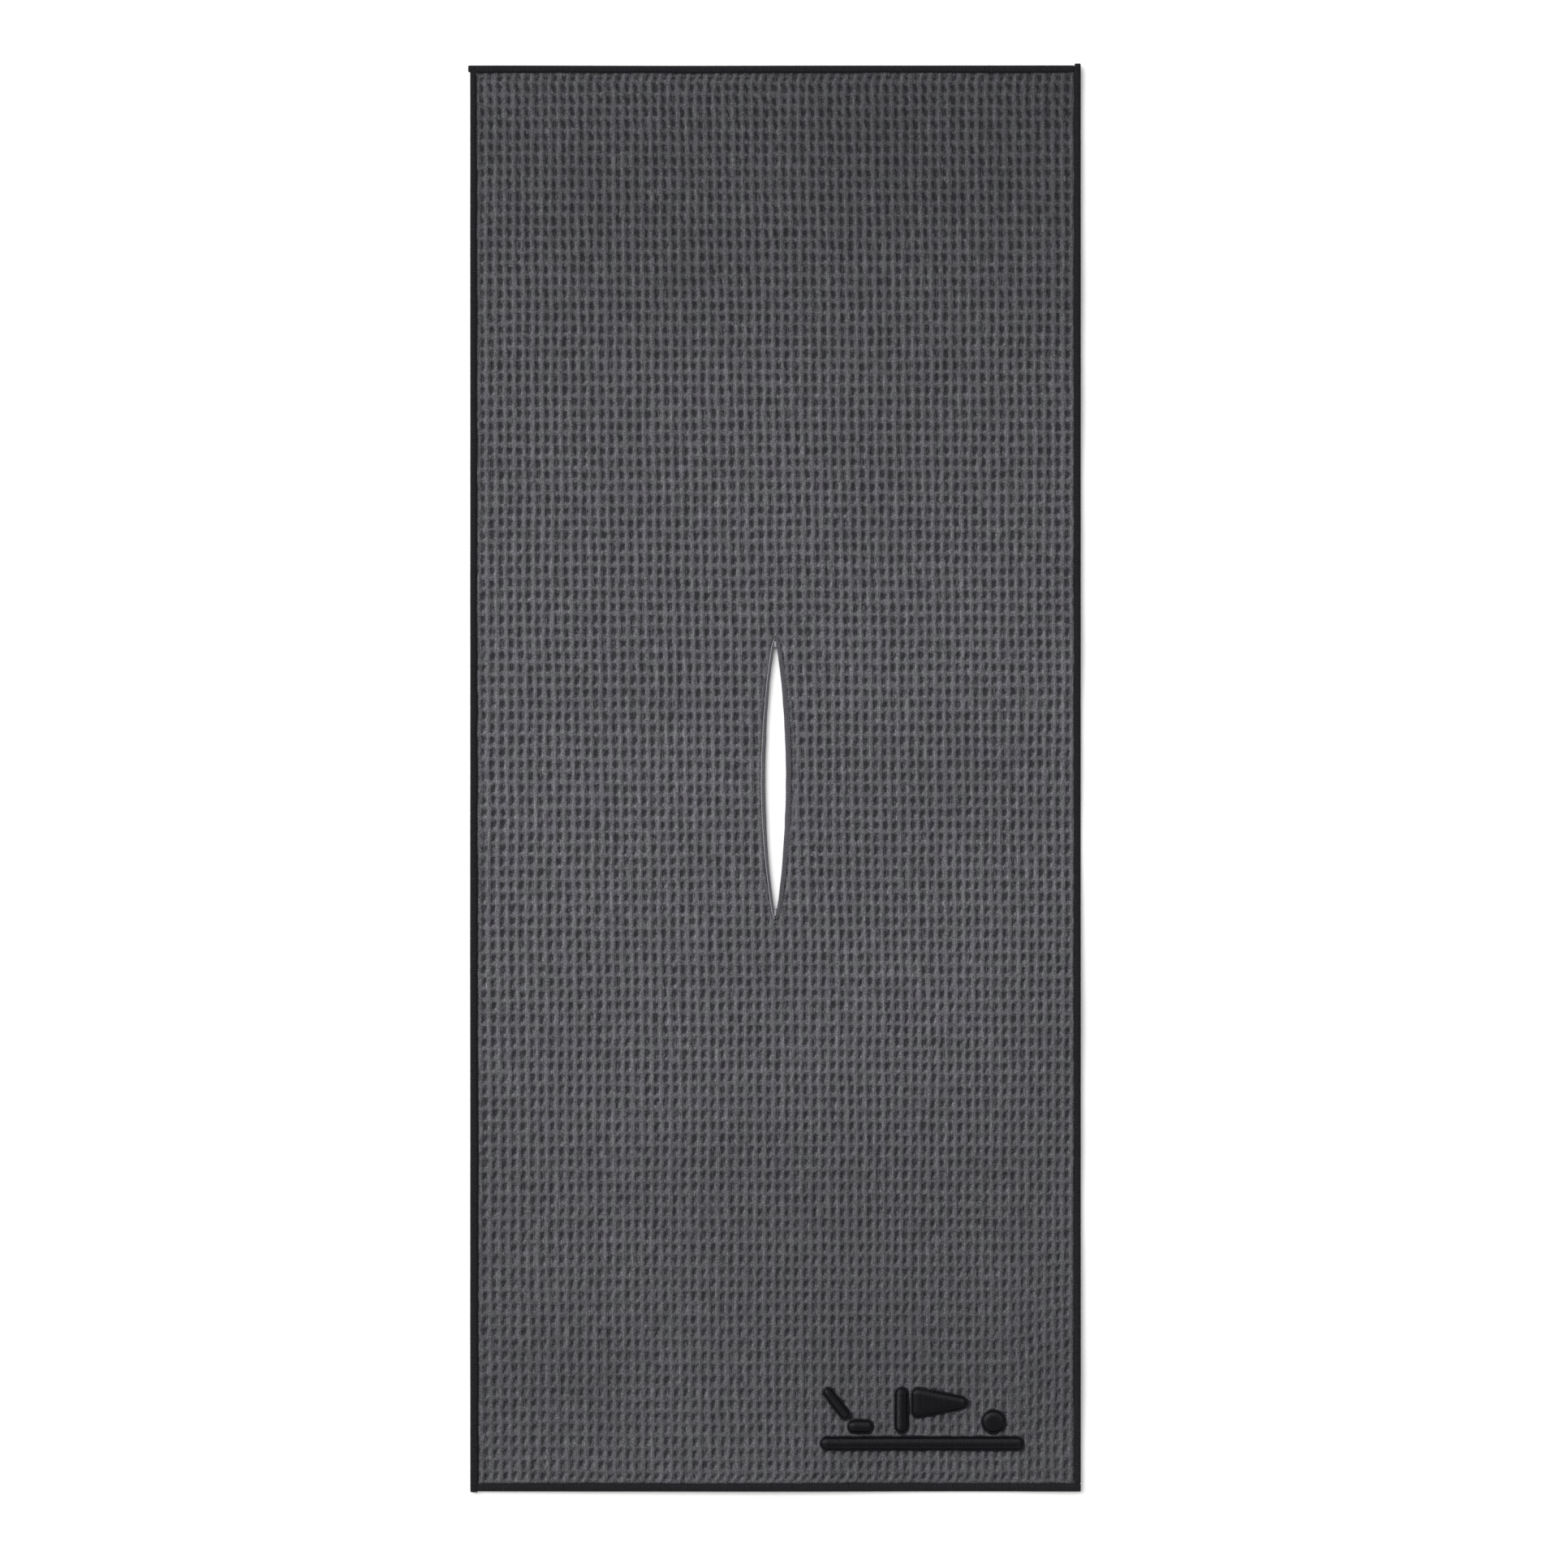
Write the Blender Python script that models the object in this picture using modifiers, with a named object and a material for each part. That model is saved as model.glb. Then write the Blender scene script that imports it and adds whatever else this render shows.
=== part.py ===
"""A waffle-weave golf towel, lying flat with its face up.

The cloth is one panel with a slit in its middle that slips over a club. Folded tapes bind its four
edges, folded strips face the slit, and a raised satin embroidery stands on one corner. X runs across
the towel, Y along it and Z up out of its face. The origin is under the middle of its outline.
"""

import math

import bmesh
import bpy

# Cloth
TOWEL_LENGTH = 1.016
TOWEL_WIDTH = 0.435
CLOTH_THICKNESS = 0.0024

# Edge bindings: folded tape, its width seen from the front, and how far an end stands out
TAPE_THICKNESS = 0.00045
TOP_BINDING_WIDTH = 0.0047
RIGHT_BINDING_WIDTH = 0.0050
BOTTOM_BINDING_WIDTH = 0.0062
LEFT_BINDING_WIDTH_AT_BOTTOM = 0.0061
LEFT_BINDING_WIDTH_AT_TOP = 0.0047
TOP_BINDING_STANDS_OUT = 0.0014
RIGHT_BINDING_STANDS_OUT = 0.0013
LEFT_BINDING_STANDS_OUT = 0.0006
FOLD_ROUNDING = 0.0004

# Slit for a club
SLIT_LENGTH = 0.188
SLIT_GAPE = 0.015
FACING_WIDTH = 0.0030
BAR_TACK_LENGTH = 0.0060
BAR_TACK_TIP_WIDTH = 0.0012
BAR_TACK_STANDS_PROUD = 0.0004

# Sewing thread
THREAD_DIAMETER = 0.00045

# Embroidery: the motif's place, from the towel's right and bottom edges, and its shapes
MOTIF_FROM_RIGHT = 0.0407
MOTIF_FROM_BOTTOM = 0.0295
SATIN_THICKNESS = 0.0006
SATIN_HEIGHT = 0.0030
SATIN_ROUNDING = 0.0012
STROKE_RADIUS = 0.0050
GROUND_LENGTH = 0.145
MOTIF_HEIGHT = 0.045
MOTIF_GAP = 0.0020
BALL_RADIUS = 0.0085
BALL_FROM_LEFT = 0.1235
PIN_FROM_LEFT = 0.0580
PENNANT_LENGTH = 0.0400
PENNANT_HEIGHT = 0.0220
CLUB_HEAD_FROM_LEFT = 0.0195
CLUB_HEAD_LENGTH = 0.0185
CLUB_SHAFT_RADIUS = 0.0038
CLUB_SHAFT_LEAN = math.radians(38)
BACKING_THICKNESS = 0.0004
BACKING_MARGIN = 0.0050

# Gap between pieces that touch, and how finely arcs are drawn
CLEARANCE = 0.0003
SLIT_ARC_STEPS = 16
ROUND_END_STEPS = 10
PASSES_THROUGH = 0.002
WELD_DISTANCE = 1e-6

HALF_LENGTH = TOWEL_LENGTH / 2
HALF_WIDTH = TOWEL_WIDTH / 2
HALF_SLIT = SLIT_LENGTH / 2
GROOVE_WIDTH = THREAD_DIAMETER + 2 * CLEARANCE
PRESSED_LOW = TAPE_THICKNESS + CLEARANCE
PRESSED_HIGH = CLOTH_THICKNESS - PRESSED_LOW
NEEDLE_THREAD_HEIGHT = PRESSED_HIGH + CLEARANCE + THREAD_DIAMETER / 2
BOBBIN_THREAD_HEIGHT = PRESSED_LOW - CLEARANCE - THREAD_DIAMETER / 2
MOTIF_LEFT = HALF_WIDTH - MOTIF_FROM_RIGHT - GROUND_LENGTH
MOTIF_BOTTOM = -HALF_LENGTH + MOTIF_FROM_BOTTOM


def clear_scene():
    for obj in list(bpy.data.objects):
        bpy.data.objects.remove(obj)


def new_collection(name):
    made = bpy.data.collections.new(name)
    bpy.context.scene.collection.children.link(made)
    return made


def new_material(name, colour, roughness):
    made = bpy.data.materials.new(name)
    made.use_nodes = True
    shader = made.node_tree.nodes["Principled BSDF"]
    shader.inputs["Base Color"].default_value = (*colour, 1.0)
    shader.inputs["Roughness"].default_value = roughness
    shader.inputs["Metallic"].default_value = 0.0
    return made


def evaluated_mesh(curve, name):
    """The welded mesh of a curve. A curve's caps are loose until they are welded."""
    guide = bpy.data.objects.new(name, curve)
    bpy.context.scene.collection.objects.link(guide)
    bpy.context.view_layer.update()
    graph = bpy.context.evaluated_depsgraph_get()
    mesh = bpy.data.meshes.new_from_object(guide.evaluated_get(graph))
    bpy.data.objects.remove(guide)
    bpy.data.curves.remove(curve)
    form = bmesh.new()
    form.from_mesh(mesh)
    bmesh.ops.remove_doubles(form, verts=form.verts, dist=WELD_DISTANCE)
    bmesh.ops.recalc_face_normals(form, faces=form.faces)
    form.to_mesh(mesh)
    form.free()
    mesh.name = name
    return mesh


def flat_mesh(name, outlines, low, high):
    """A flat outline, with any holes, that stands from the height low to the height high."""
    curve = bpy.data.curves.new(name, "CURVE")
    curve.dimensions = "2D"
    curve.fill_mode = "BOTH"
    curve.extrude = (high - low) / 2
    for outline in outlines:
        spline = curve.splines.new("POLY")
        spline.points.add(len(outline) - 1)
        for point, (x, y) in zip(spline.points, outline):
            point.co = (x, y, 0.0, 1.0)
        spline.use_cyclic_u = True
    mesh = evaluated_mesh(curve, name)
    for vertex in mesh.vertices:
        vertex.co.z += (low + high) / 2
    return mesh


def place(mesh, name, collection, material=None, corner=(0.0, 0.0), turn=0.0):
    """An object on the towel, turned about Z and with its own origin at the given corner."""
    obj = bpy.data.objects.new(name, mesh)
    obj.location = (*corner, 0.0)
    obj.rotation_euler.z = turn
    obj.parent = bpy.data.objects["towel_centre"]
    collection.objects.link(obj)
    if material:
        mesh.materials.append(material)
    return obj


def use_boolean(obj, other, name, operation):
    other.hide_render = True
    other.display_type = "WIRE"
    modifier = obj.modifiers.new(name, "BOOLEAN")
    modifier.operation = operation
    modifier.object = other


def arc(centre, radius, start, end, steps):
    turns = [start + (end - start) * step / steps for step in range(steps + 1)]
    return [(centre[0] + radius * math.cos(t), centre[1] + radius * math.sin(t)) for t in turns]


def binding_widths():
    """Each binding's name, its width at the end that lies over, and its width at the end that butts."""
    return (
        ("top", TOP_BINDING_WIDTH, TOP_BINDING_WIDTH),
        ("right", RIGHT_BINDING_WIDTH, RIGHT_BINDING_WIDTH),
        ("bottom", BOTTOM_BINDING_WIDTH, BOTTOM_BINDING_WIDTH),
        ("left", LEFT_BINDING_WIDTH_AT_BOTTOM, LEFT_BINDING_WIDTH_AT_TOP),
    )


def binding_plan():
    """Where each binding lies. Its own X runs from the end that lies over to the end that butts
    against the next binding, and its own Y points off the towel. They follow each other round."""
    widths = binding_widths()
    stands_out = (TOP_BINDING_STANDS_OUT, RIGHT_BINDING_STANDS_OUT, 0.0, LEFT_BINDING_STANDS_OUT)
    sides = (TOWEL_WIDTH, TOWEL_LENGTH, TOWEL_WIDTH, TOWEL_LENGTH)
    corners = (
        (-HALF_WIDTH - stands_out[0], HALF_LENGTH),
        (HALF_WIDTH, HALF_LENGTH + stands_out[1]),
        (HALF_WIDTH + stands_out[2], -HALF_LENGTH),
        (-HALF_WIDTH, -HALF_LENGTH - stands_out[3]),
    )
    plan = []
    for index, (name, over_width, butt_width) in enumerate(widths):
        next_width = widths[(index + 1) % 4][1]
        before_width = widths[index - 1][2]
        plan.append(
            {
                "name": name,
                "corner": corners[index],
                "turn": -math.pi / 2 * index,
                "length": stands_out[index] + sides[index] - next_width - CLEARANCE,
                "over_width": over_width,
                "butt_width": butt_width,
                "seam_start": stands_out[index] + before_width + CLEARANCE,
            }
        )
    return plan


def make_binding(piece, parts, cutters, material):
    """A tape folded round the cloth's edge: a rounded bar with a pocket for the pressed cloth."""
    name = piece["name"] + "_binding"
    length = piece["length"]
    outline = [(0, 0), (length, 0), (length, -piece["butt_width"]), (0, -piece["over_width"])]
    bar = place(
        flat_mesh(name, [outline], 0.0, CLOTH_THICKNESS),
        name,
        parts,
        material,
        piece["corner"],
        piece["turn"],
    )
    fold = bar.modifiers.new("fold", "BEVEL")
    fold.width = FOLD_ROUNDING
    fold.segments = 2
    fold.limit_method = "ANGLE"
    inside = -max(piece["over_width"], piece["butt_width"]) - PASSES_THROUGH
    pocket_outline = [
        (TAPE_THICKNESS, -TAPE_THICKNESS),
        (length + PASSES_THROUGH, -TAPE_THICKNESS),
        (length + PASSES_THROUGH, inside),
        (TAPE_THICKNESS, inside),
    ]
    pocket_high = CLOTH_THICKNESS - TAPE_THICKNESS
    pocket = place(
        flat_mesh(name + "_pocket", [pocket_outline], TAPE_THICKNESS, pocket_high),
        name + "_pocket",
        cutters,
        corner=piece["corner"],
        turn=piece["turn"],
    )
    use_boolean(bar, pocket, "pocket", "DIFFERENCE")
    return bar


def make_thread(name, route, height, collection, material, corner=(0.0, 0.0), turn=0.0):
    """One continuous sewing thread along a route in the plane of the cloth."""
    curve = bpy.data.curves.new(name, "CURVE")
    curve.dimensions = "3D"
    curve.bevel_depth = THREAD_DIAMETER / 2
    curve.bevel_resolution = 2
    curve.use_fill_caps = True
    spline = curve.splines.new("POLY")
    spline.points.add(len(route) - 1)
    for point, (x, y) in zip(spline.points, route):
        point.co = (x, y, height, 1.0)
    mesh = evaluated_mesh(curve, name)
    mesh.shade_smooth()
    place(mesh, name, collection, material, corner, turn)


def make_binding_threads(piece, parts, needle_material, bobbin_material):
    """The needle thread in the groove on the face, and the bobbin thread in the one on the back."""
    aside = CLEARANCE + THREAD_DIAMETER / 2
    narrowing = (piece["butt_width"] - piece["over_width"]) / piece["length"]
    start = piece["seam_start"]
    end = piece["length"] - THREAD_DIAMETER - CLEARANCE
    route = [(x, -piece["over_width"] - narrowing * x - aside) for x in (start, end)]
    place_at = {"corner": piece["corner"], "turn": piece["turn"]}
    name = piece["name"] + "_seam"
    make_thread(name + "_needle_thread", route, NEEDLE_THREAD_HEIGHT, parts, needle_material, **place_at)
    make_thread(name + "_bobbin_thread", route, BOBBIN_THREAD_HEIGHT, parts, bobbin_material, **place_at)


def slit_edge(offset):
    """The right edge of the slit, from its bottom end to its top end, moved outwards by offset."""
    rise = (SLIT_GAPE - CLEARANCE) / 2
    radius = (HALF_SLIT**2 + rise**2) / (2 * rise)
    reach = math.asin(HALF_SLIT / (radius + offset))
    centre = (SLIT_GAPE / 2 - radius, 0.0)
    return arc(centre, radius + offset, -reach, reach, SLIT_ARC_STEPS)


def mirrored(points):
    return [(-x, y) for x, y in reversed(points)]


def bar_tack_side(offset, above):
    """A point at offset from the right side of the top bar tack, this far above the slit's end."""
    foot = CLEARANCE / 2 + FACING_WIDTH
    slope = (foot - BAR_TACK_TIP_WIDTH / 2) / BAR_TACK_LENGTH
    return (foot + offset * math.hypot(1.0, slope) - slope * above, HALF_SLIT + above)


def slit_hole(edge_offset, tack_offset):
    """The hole that the facings and the bar tacks leave in the cloth, as one closed outline."""
    tip = bar_tack_side(tack_offset, BAR_TACK_LENGTH + tack_offset)
    top = [bar_tack_side(tack_offset, 0.0), tip]
    bottom = [(x, -y) for x, y in reversed(top)]
    right = [*bottom, *slit_edge(edge_offset), *top]
    return right + mirrored(right)


def rectangle(low, high):
    return [low, (high[0], low[1]), high, (low[0], high[1])]


def make_panel(parts, cutters, material):
    """The waffle cloth: full thickness inside the seams, and pressed thin where tape covers it."""
    edge = TAPE_THICKNESS + CLEARANCE
    left_top = -HALF_WIDTH + LEFT_BINDING_WIDTH_AT_TOP + GROOVE_WIDTH
    left_bottom = -HALF_WIDTH + LEFT_BINDING_WIDTH_AT_BOTTOM + GROOVE_WIDTH
    right = HALF_WIDTH - RIGHT_BINDING_WIDTH - GROOVE_WIDTH
    top = HALF_LENGTH - TOP_BINDING_WIDTH - GROOVE_WIDTH
    bottom = -HALF_LENGTH + BOTTOM_BINDING_WIDTH + GROOVE_WIDTH
    full = [(left_bottom, bottom), (right, bottom), (right, top), (left_top, top)]
    pressed = rectangle((-HALF_WIDTH + edge, -HALF_LENGTH + edge), (HALF_WIDTH - edge, HALF_LENGTH - edge))
    full_hole = slit_hole(FACING_WIDTH + GROOVE_WIDTH, GROOVE_WIDTH)
    pressed_hole = slit_hole(edge, CLEARANCE)
    panel = place(
        flat_mesh("waffle_panel", [full, full_hole], 0.0, CLOTH_THICKNESS),
        "waffle_panel",
        parts,
        material,
    )
    margin = place(
        flat_mesh("pressed_margin", [pressed, pressed_hole], PRESSED_LOW, PRESSED_HIGH),
        "pressed_margin",
        cutters,
    )
    use_boolean(panel, margin, "pressed_margin", "UNION")
    recess_outline = backing_outline(CLEARANCE)
    recess = place(
        flat_mesh("backing_recess", [recess_outline], -PASSES_THROUGH, BACKING_THICKNESS + CLEARANCE),
        "backing_recess",
        cutters,
    )
    use_boolean(panel, recess, "backing_recess", "DIFFERENCE")


def past_both_ends(line):
    """A line up the slit, made longer at both ends so that it passes through what it cuts."""
    low, high = line[0], line[-1]
    return [(low[0], low[1] - PASSES_THROUGH), *line, (high[0], high[1] + PASSES_THROUGH)]


def make_facing(side, parts, cutters, material):
    """A folded strip that binds one long edge of the slit."""
    name = side + "_slit_facing"
    band = slit_edge(0.0) + slit_edge(FACING_WIDTH)[::-1]
    beyond = past_both_ends(slit_edge(FACING_WIDTH + PASSES_THROUGH))
    pocket_band = past_both_ends(slit_edge(TAPE_THICKNESS)) + beyond[::-1]
    if side == "left":
        band = mirrored(band)
        pocket_band = mirrored(pocket_band)
    strip = place(flat_mesh(name, [band], 0.0, CLOTH_THICKNESS), name, parts, material)
    pocket_mesh = flat_mesh(
        name + "_pocket", [pocket_band], TAPE_THICKNESS, CLOTH_THICKNESS - TAPE_THICKNESS
    )
    pocket = place(pocket_mesh, name + "_pocket", cutters)
    use_boolean(strip, pocket, "pocket", "DIFFERENCE")


def make_slit_threads(side, parts, needle_material, bobbin_material):
    aside = CLEARANCE + THREAD_DIAMETER / 2
    tip = bar_tack_side(aside, BAR_TACK_LENGTH)
    route = [(tip[0], -tip[1]), *slit_edge(FACING_WIDTH + aside), tip]
    if side == "left":
        route = mirrored(route)
    name = side + "_slit_seam"
    make_thread(name + "_needle_thread", route, NEEDLE_THREAD_HEIGHT, parts, needle_material)
    make_thread(name + "_bobbin_thread", route, BOBBIN_THREAD_HEIGHT, parts, bobbin_material)


def make_bar_tack(end, parts, material):
    """The dense block of thread that locks one end of the slit."""
    half = [bar_tack_side(0.0, CLEARANCE), bar_tack_side(0.0, BAR_TACK_LENGTH)]
    outline = half + mirrored(half)
    if end == "bottom":
        outline = [(x, -y) for x, y in reversed(outline)]
    name = end + "_bar_tack"
    high = CLOTH_THICKNESS + BAR_TACK_STANDS_PROUD
    place(flat_mesh(name, [outline], 0.0, high), name, parts, material)


def rounded_outline(spine, radius):
    """The outline at one radius round a point, a line or a triangle given anticlockwise."""
    outline = []
    count = len(spine)
    for index, point in enumerate(spine):
        before = spine[index - 1]
        after = spine[(index + 1) % count]
        start = math.atan2(point[1] - before[1], point[0] - before[0]) - math.pi / 2
        end = math.atan2(after[1] - point[1], after[0] - point[0]) - math.pi / 2
        if count == 1:
            start, end = 0.0, 2 * math.pi * (1 - 1 / (2 * ROUND_END_STEPS))
        while end <= start:
            end += 2 * math.pi
        steps = max(2, math.ceil(2 * ROUND_END_STEPS * (end - start) / (2 * math.pi)))
        outline += arc(point, radius, start, end, steps)
    return outline


def motif_shapes():
    """Each raised shape of the golf motif: its name, its spine and the radius round the spine.

    A ground line carries a flag pin with its pennant, a ball, and a club addressing them."""
    above_ground = MOTIF_BOTTOM + 2 * STROKE_RADIUS + MOTIF_GAP
    ceiling = MOTIF_BOTTOM + MOTIF_HEIGHT
    ground_height = MOTIF_BOTTOM + STROKE_RADIUS
    ground = [
        (MOTIF_LEFT + STROKE_RADIUS, ground_height),
        (MOTIF_LEFT + GROUND_LENGTH - STROKE_RADIUS, ground_height),
    ]
    pin_at = MOTIF_LEFT + PIN_FROM_LEFT
    pin = [(pin_at, above_ground + STROKE_RADIUS), (pin_at, ceiling - STROKE_RADIUS)]
    pennant_at = pin_at + 2 * STROKE_RADIUS + MOTIF_GAP
    pennant_reach = pennant_at + PENNANT_LENGTH - 2 * STROKE_RADIUS
    pennant_top = ceiling - STROKE_RADIUS
    pennant_low = ceiling - PENNANT_HEIGHT + STROKE_RADIUS
    pennant = [
        (pennant_at, pennant_low),
        (pennant_reach, (pennant_low + pennant_top) / 2),
        (pennant_at, pennant_top),
    ]
    ball = [(MOTIF_LEFT + BALL_FROM_LEFT, above_ground + BALL_RADIUS)]
    head_at = MOTIF_LEFT + CLUB_HEAD_FROM_LEFT + STROKE_RADIUS
    head_height = above_ground + STROKE_RADIUS
    head = [(head_at, head_height), (head_at + CLUB_HEAD_LENGTH - 2 * STROKE_RADIUS, head_height)]
    neck = STROKE_RADIUS + CLUB_SHAFT_RADIUS + MOTIF_GAP
    lean = (-math.sin(CLUB_SHAFT_LEAN), math.cos(CLUB_SHAFT_LEAN))
    shaft_foot = (head_at + neck * lean[0], head_height + neck * lean[1])
    shaft_length = (ceiling - CLUB_SHAFT_RADIUS - shaft_foot[1]) / lean[1]
    shaft_top = (shaft_foot[0] + shaft_length * lean[0], shaft_foot[1] + shaft_length * lean[1])
    return (
        ("ground_line", ground, STROKE_RADIUS),
        ("flag_pin", pin, STROKE_RADIUS),
        ("pennant", pennant, STROKE_RADIUS),
        ("ball", ball, BALL_RADIUS),
        ("club_head", head, STROKE_RADIUS),
        ("club_shaft", [shaft_foot, shaft_top], CLUB_SHAFT_RADIUS),
    )


def backing_outline(offset):
    low = (MOTIF_LEFT - BACKING_MARGIN - offset, MOTIF_BOTTOM - BACKING_MARGIN - offset)
    right = MOTIF_LEFT + GROUND_LENGTH + BACKING_MARGIN + offset
    top = MOTIF_BOTTOM + MOTIF_HEIGHT + BACKING_MARGIN + offset
    return rectangle(low, (right, top))


def round_top_edges(obj, high):
    """Rounds only the edges at the height high."""
    form = bmesh.new()
    form.from_mesh(obj.data)
    weights = form.edges.layers.float.new("bevel_weight_edge")
    for edge in form.edges:
        on_top = all(abs(vertex.co.z - high) < WELD_DISTANCE for vertex in edge.verts)
        edge[weights] = 1.0 if on_top else 0.0
    form.to_mesh(obj.data)
    form.free()
    rounding = obj.modifiers.new("rounding", "BEVEL")
    rounding.width = SATIN_ROUNDING
    rounding.segments = 3
    rounding.limit_method = "WEIGHT"


def make_raised_shape(shape, parts, cutters, satin_material, foam_material):
    """A satin-stitched cover, open underneath, over its foam core."""
    name, spine, radius = shape
    low = CLOTH_THICKNESS + CLEARANCE
    high = low + SATIN_HEIGHT
    foam_high = high - SATIN_THICKNESS - CLEARANCE
    foam_radius = radius - SATIN_THICKNESS - CLEARANCE
    cover = place(
        flat_mesh(name + "_satin", [rounded_outline(spine, radius)], low, high),
        name + "_satin",
        parts,
        satin_material,
    )
    round_top_edges(cover, high)
    hollow_outline = rounded_outline(spine, radius - SATIN_THICKNESS)
    hollow = place(
        flat_mesh(name + "_hollow", [hollow_outline], low - PASSES_THROUGH, high - SATIN_THICKNESS),
        name + "_hollow",
        cutters,
    )
    use_boolean(cover, hollow, "hollow", "DIFFERENCE")
    foam_mesh = flat_mesh(name + "_foam", [rounded_outline(spine, foam_radius)], low, foam_high)
    place(foam_mesh, name + "_foam", parts, foam_material)


def make_towel():
    clear_scene()
    parts = new_collection("golf_towel")
    cutters = new_collection("golf_towel_cutters")
    centre = bpy.data.objects.new("towel_centre", None)
    centre.location = (
        TOP_BINDING_STANDS_OUT / 2,
        (LEFT_BINDING_STANDS_OUT - RIGHT_BINDING_STANDS_OUT) / 2,
        0.0,
    )
    parts.objects.link(centre)

    cloth = new_material("grey_microfibre_waffle", (0.100, 0.100, 0.105), 0.95)
    tape = new_material("black_binding_tape", (0.018, 0.017, 0.019), 0.75)
    facing = new_material("grey_facing_strip", (0.090, 0.090, 0.094), 0.85)
    seam_thread = new_material("black_sewing_thread", (0.012, 0.012, 0.014), 0.60)
    slit_thread = new_material("light_grey_sewing_thread", (0.300, 0.300, 0.305), 0.60)
    satin = new_material("black_satin_stitch", (0.013, 0.013, 0.015), 0.40)
    foam = new_material("black_embroidery_foam", (0.020, 0.020, 0.020), 0.95)
    backing = new_material("black_cutaway_backing", (0.030, 0.030, 0.032), 0.95)

    make_panel(parts, cutters, cloth)
    for piece in binding_plan():
        make_binding(piece, parts, cutters, tape)
        make_binding_threads(piece, parts, seam_thread, seam_thread)
    for side in ("left", "right"):
        make_facing(side, parts, cutters, facing)
        make_slit_threads(side, parts, slit_thread, seam_thread)
    for end in ("top", "bottom"):
        make_bar_tack(end, parts, slit_thread)
    for shape in motif_shapes():
        make_raised_shape(shape, parts, cutters, satin, foam)
    backing_mesh = flat_mesh("embroidery_backing", [backing_outline(0.0)], 0.0, BACKING_THICKNESS)
    place(backing_mesh, "embroidery_backing", parts, backing)


make_towel()
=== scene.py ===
"""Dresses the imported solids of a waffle-weave golf towel in cloth, tape, thread and embroidery.

It weaves the panel, folds and sews the bindings, faces the slit, stitches the golf motif over its
foam and lights the stage. X runs across the towel, Y along it and Z up out of its face, in metres.
"""

import math

import bpy
import numpy as np
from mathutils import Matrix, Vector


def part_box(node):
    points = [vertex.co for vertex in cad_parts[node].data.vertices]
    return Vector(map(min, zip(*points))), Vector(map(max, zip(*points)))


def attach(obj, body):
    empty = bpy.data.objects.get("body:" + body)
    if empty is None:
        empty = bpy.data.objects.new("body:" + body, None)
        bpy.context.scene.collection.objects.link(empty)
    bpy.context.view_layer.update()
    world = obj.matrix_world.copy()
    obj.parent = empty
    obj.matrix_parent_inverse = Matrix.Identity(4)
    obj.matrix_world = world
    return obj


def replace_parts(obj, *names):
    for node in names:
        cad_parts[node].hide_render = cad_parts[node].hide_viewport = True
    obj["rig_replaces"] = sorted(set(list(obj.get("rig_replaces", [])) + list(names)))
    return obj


bl_info = {
    "name": "Golf Towel",
    "version": (1, 0, 0),
    "blender": (4, 5, 0),
    "location": "3D View > Sidebar > Golf Towel",
    "description": "Weaves, binds and embroiders a waffle golf towel round its packed solids",
    "category": "Add Mesh",
}

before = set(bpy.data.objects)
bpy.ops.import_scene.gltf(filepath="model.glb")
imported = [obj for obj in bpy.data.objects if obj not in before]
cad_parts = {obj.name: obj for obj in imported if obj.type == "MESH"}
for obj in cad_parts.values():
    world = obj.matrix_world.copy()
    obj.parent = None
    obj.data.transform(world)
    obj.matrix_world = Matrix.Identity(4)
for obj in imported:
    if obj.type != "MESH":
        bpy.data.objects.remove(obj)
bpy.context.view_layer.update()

UP = np.array((0.0, 0.0, 1.0))

# The box of the cloth panel, and the middle of it
PANEL_LOW, PANEL_HIGH = (np.array(corner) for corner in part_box("waffle_panel"))
MIDDLE = (PANEL_LOW + PANEL_HIGH) / 2
FACING_LOW, FACING_HIGH = (np.array(corner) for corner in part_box("right_slit_facing"))
TACK_HIGH = np.array(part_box("top_bar_tack")[1])

# Heights of the cloth's middle: at rest, under the embroidery, and over its backing
CLOTH_HEIGHT = 0.0012
MOTIF_PRESSED_HEIGHT = 0.0015
BACKED_HEIGHT = 0.0010
# How far from a seam, and from the embroidery, the pressed cloth has risen again
SEAM_RELEASE = 0.0018
MOTIF_RELEASE = 0.0013

# How the waffle is drawn: its first and last pits are measured in from the towel's outline
POINTS_PER_CELL = 6
FIRST_PIT = (0.01115, 0.0102)
LAST_PIT = (0.01115, 0.0078)
# The fold of the tape takes the towel's outline this far past the cloth's raw edge
TAPE_FOLD = 0.00075
# This near to the tapes, their seams keep the weave from wandering
HELD_WEAVE = 0.012
# Round the slit the cloth is cut this far back from the facings' folds
SLIT_CUT_BACK = 0.0009
HALF_SLIT = (FACING_HIGH[1] - FACING_LOW[1]) / 2

# What each seed's random draws are used for
SEEDS = {
    "cells": 11,
    "drift": 23,
    "fuzz": 31,
    "tape": 47,
    "thread": 59,
    "satin": 67,
    "backing": 71,
}


# ---------------------------------------------------------------- values and noise


def linear(hex_colour):
    """An sRGB hex colour as linear red, green and blue."""
    channels = [int(hex_colour[start : start + 2], 16) / 255 for start in (1, 3, 5)]
    return tuple(c / 12.92 if c <= 0.04045 else ((c + 0.055) / 1.055) ** 2.4 for c in channels)


def smooth(value):
    """An S-shaped step from 0 to 1 while the value goes from 0 to 1."""
    value = np.clip(value, 0.0, 1.0)
    return value * value * (3.0 - 2.0 * value)


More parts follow.
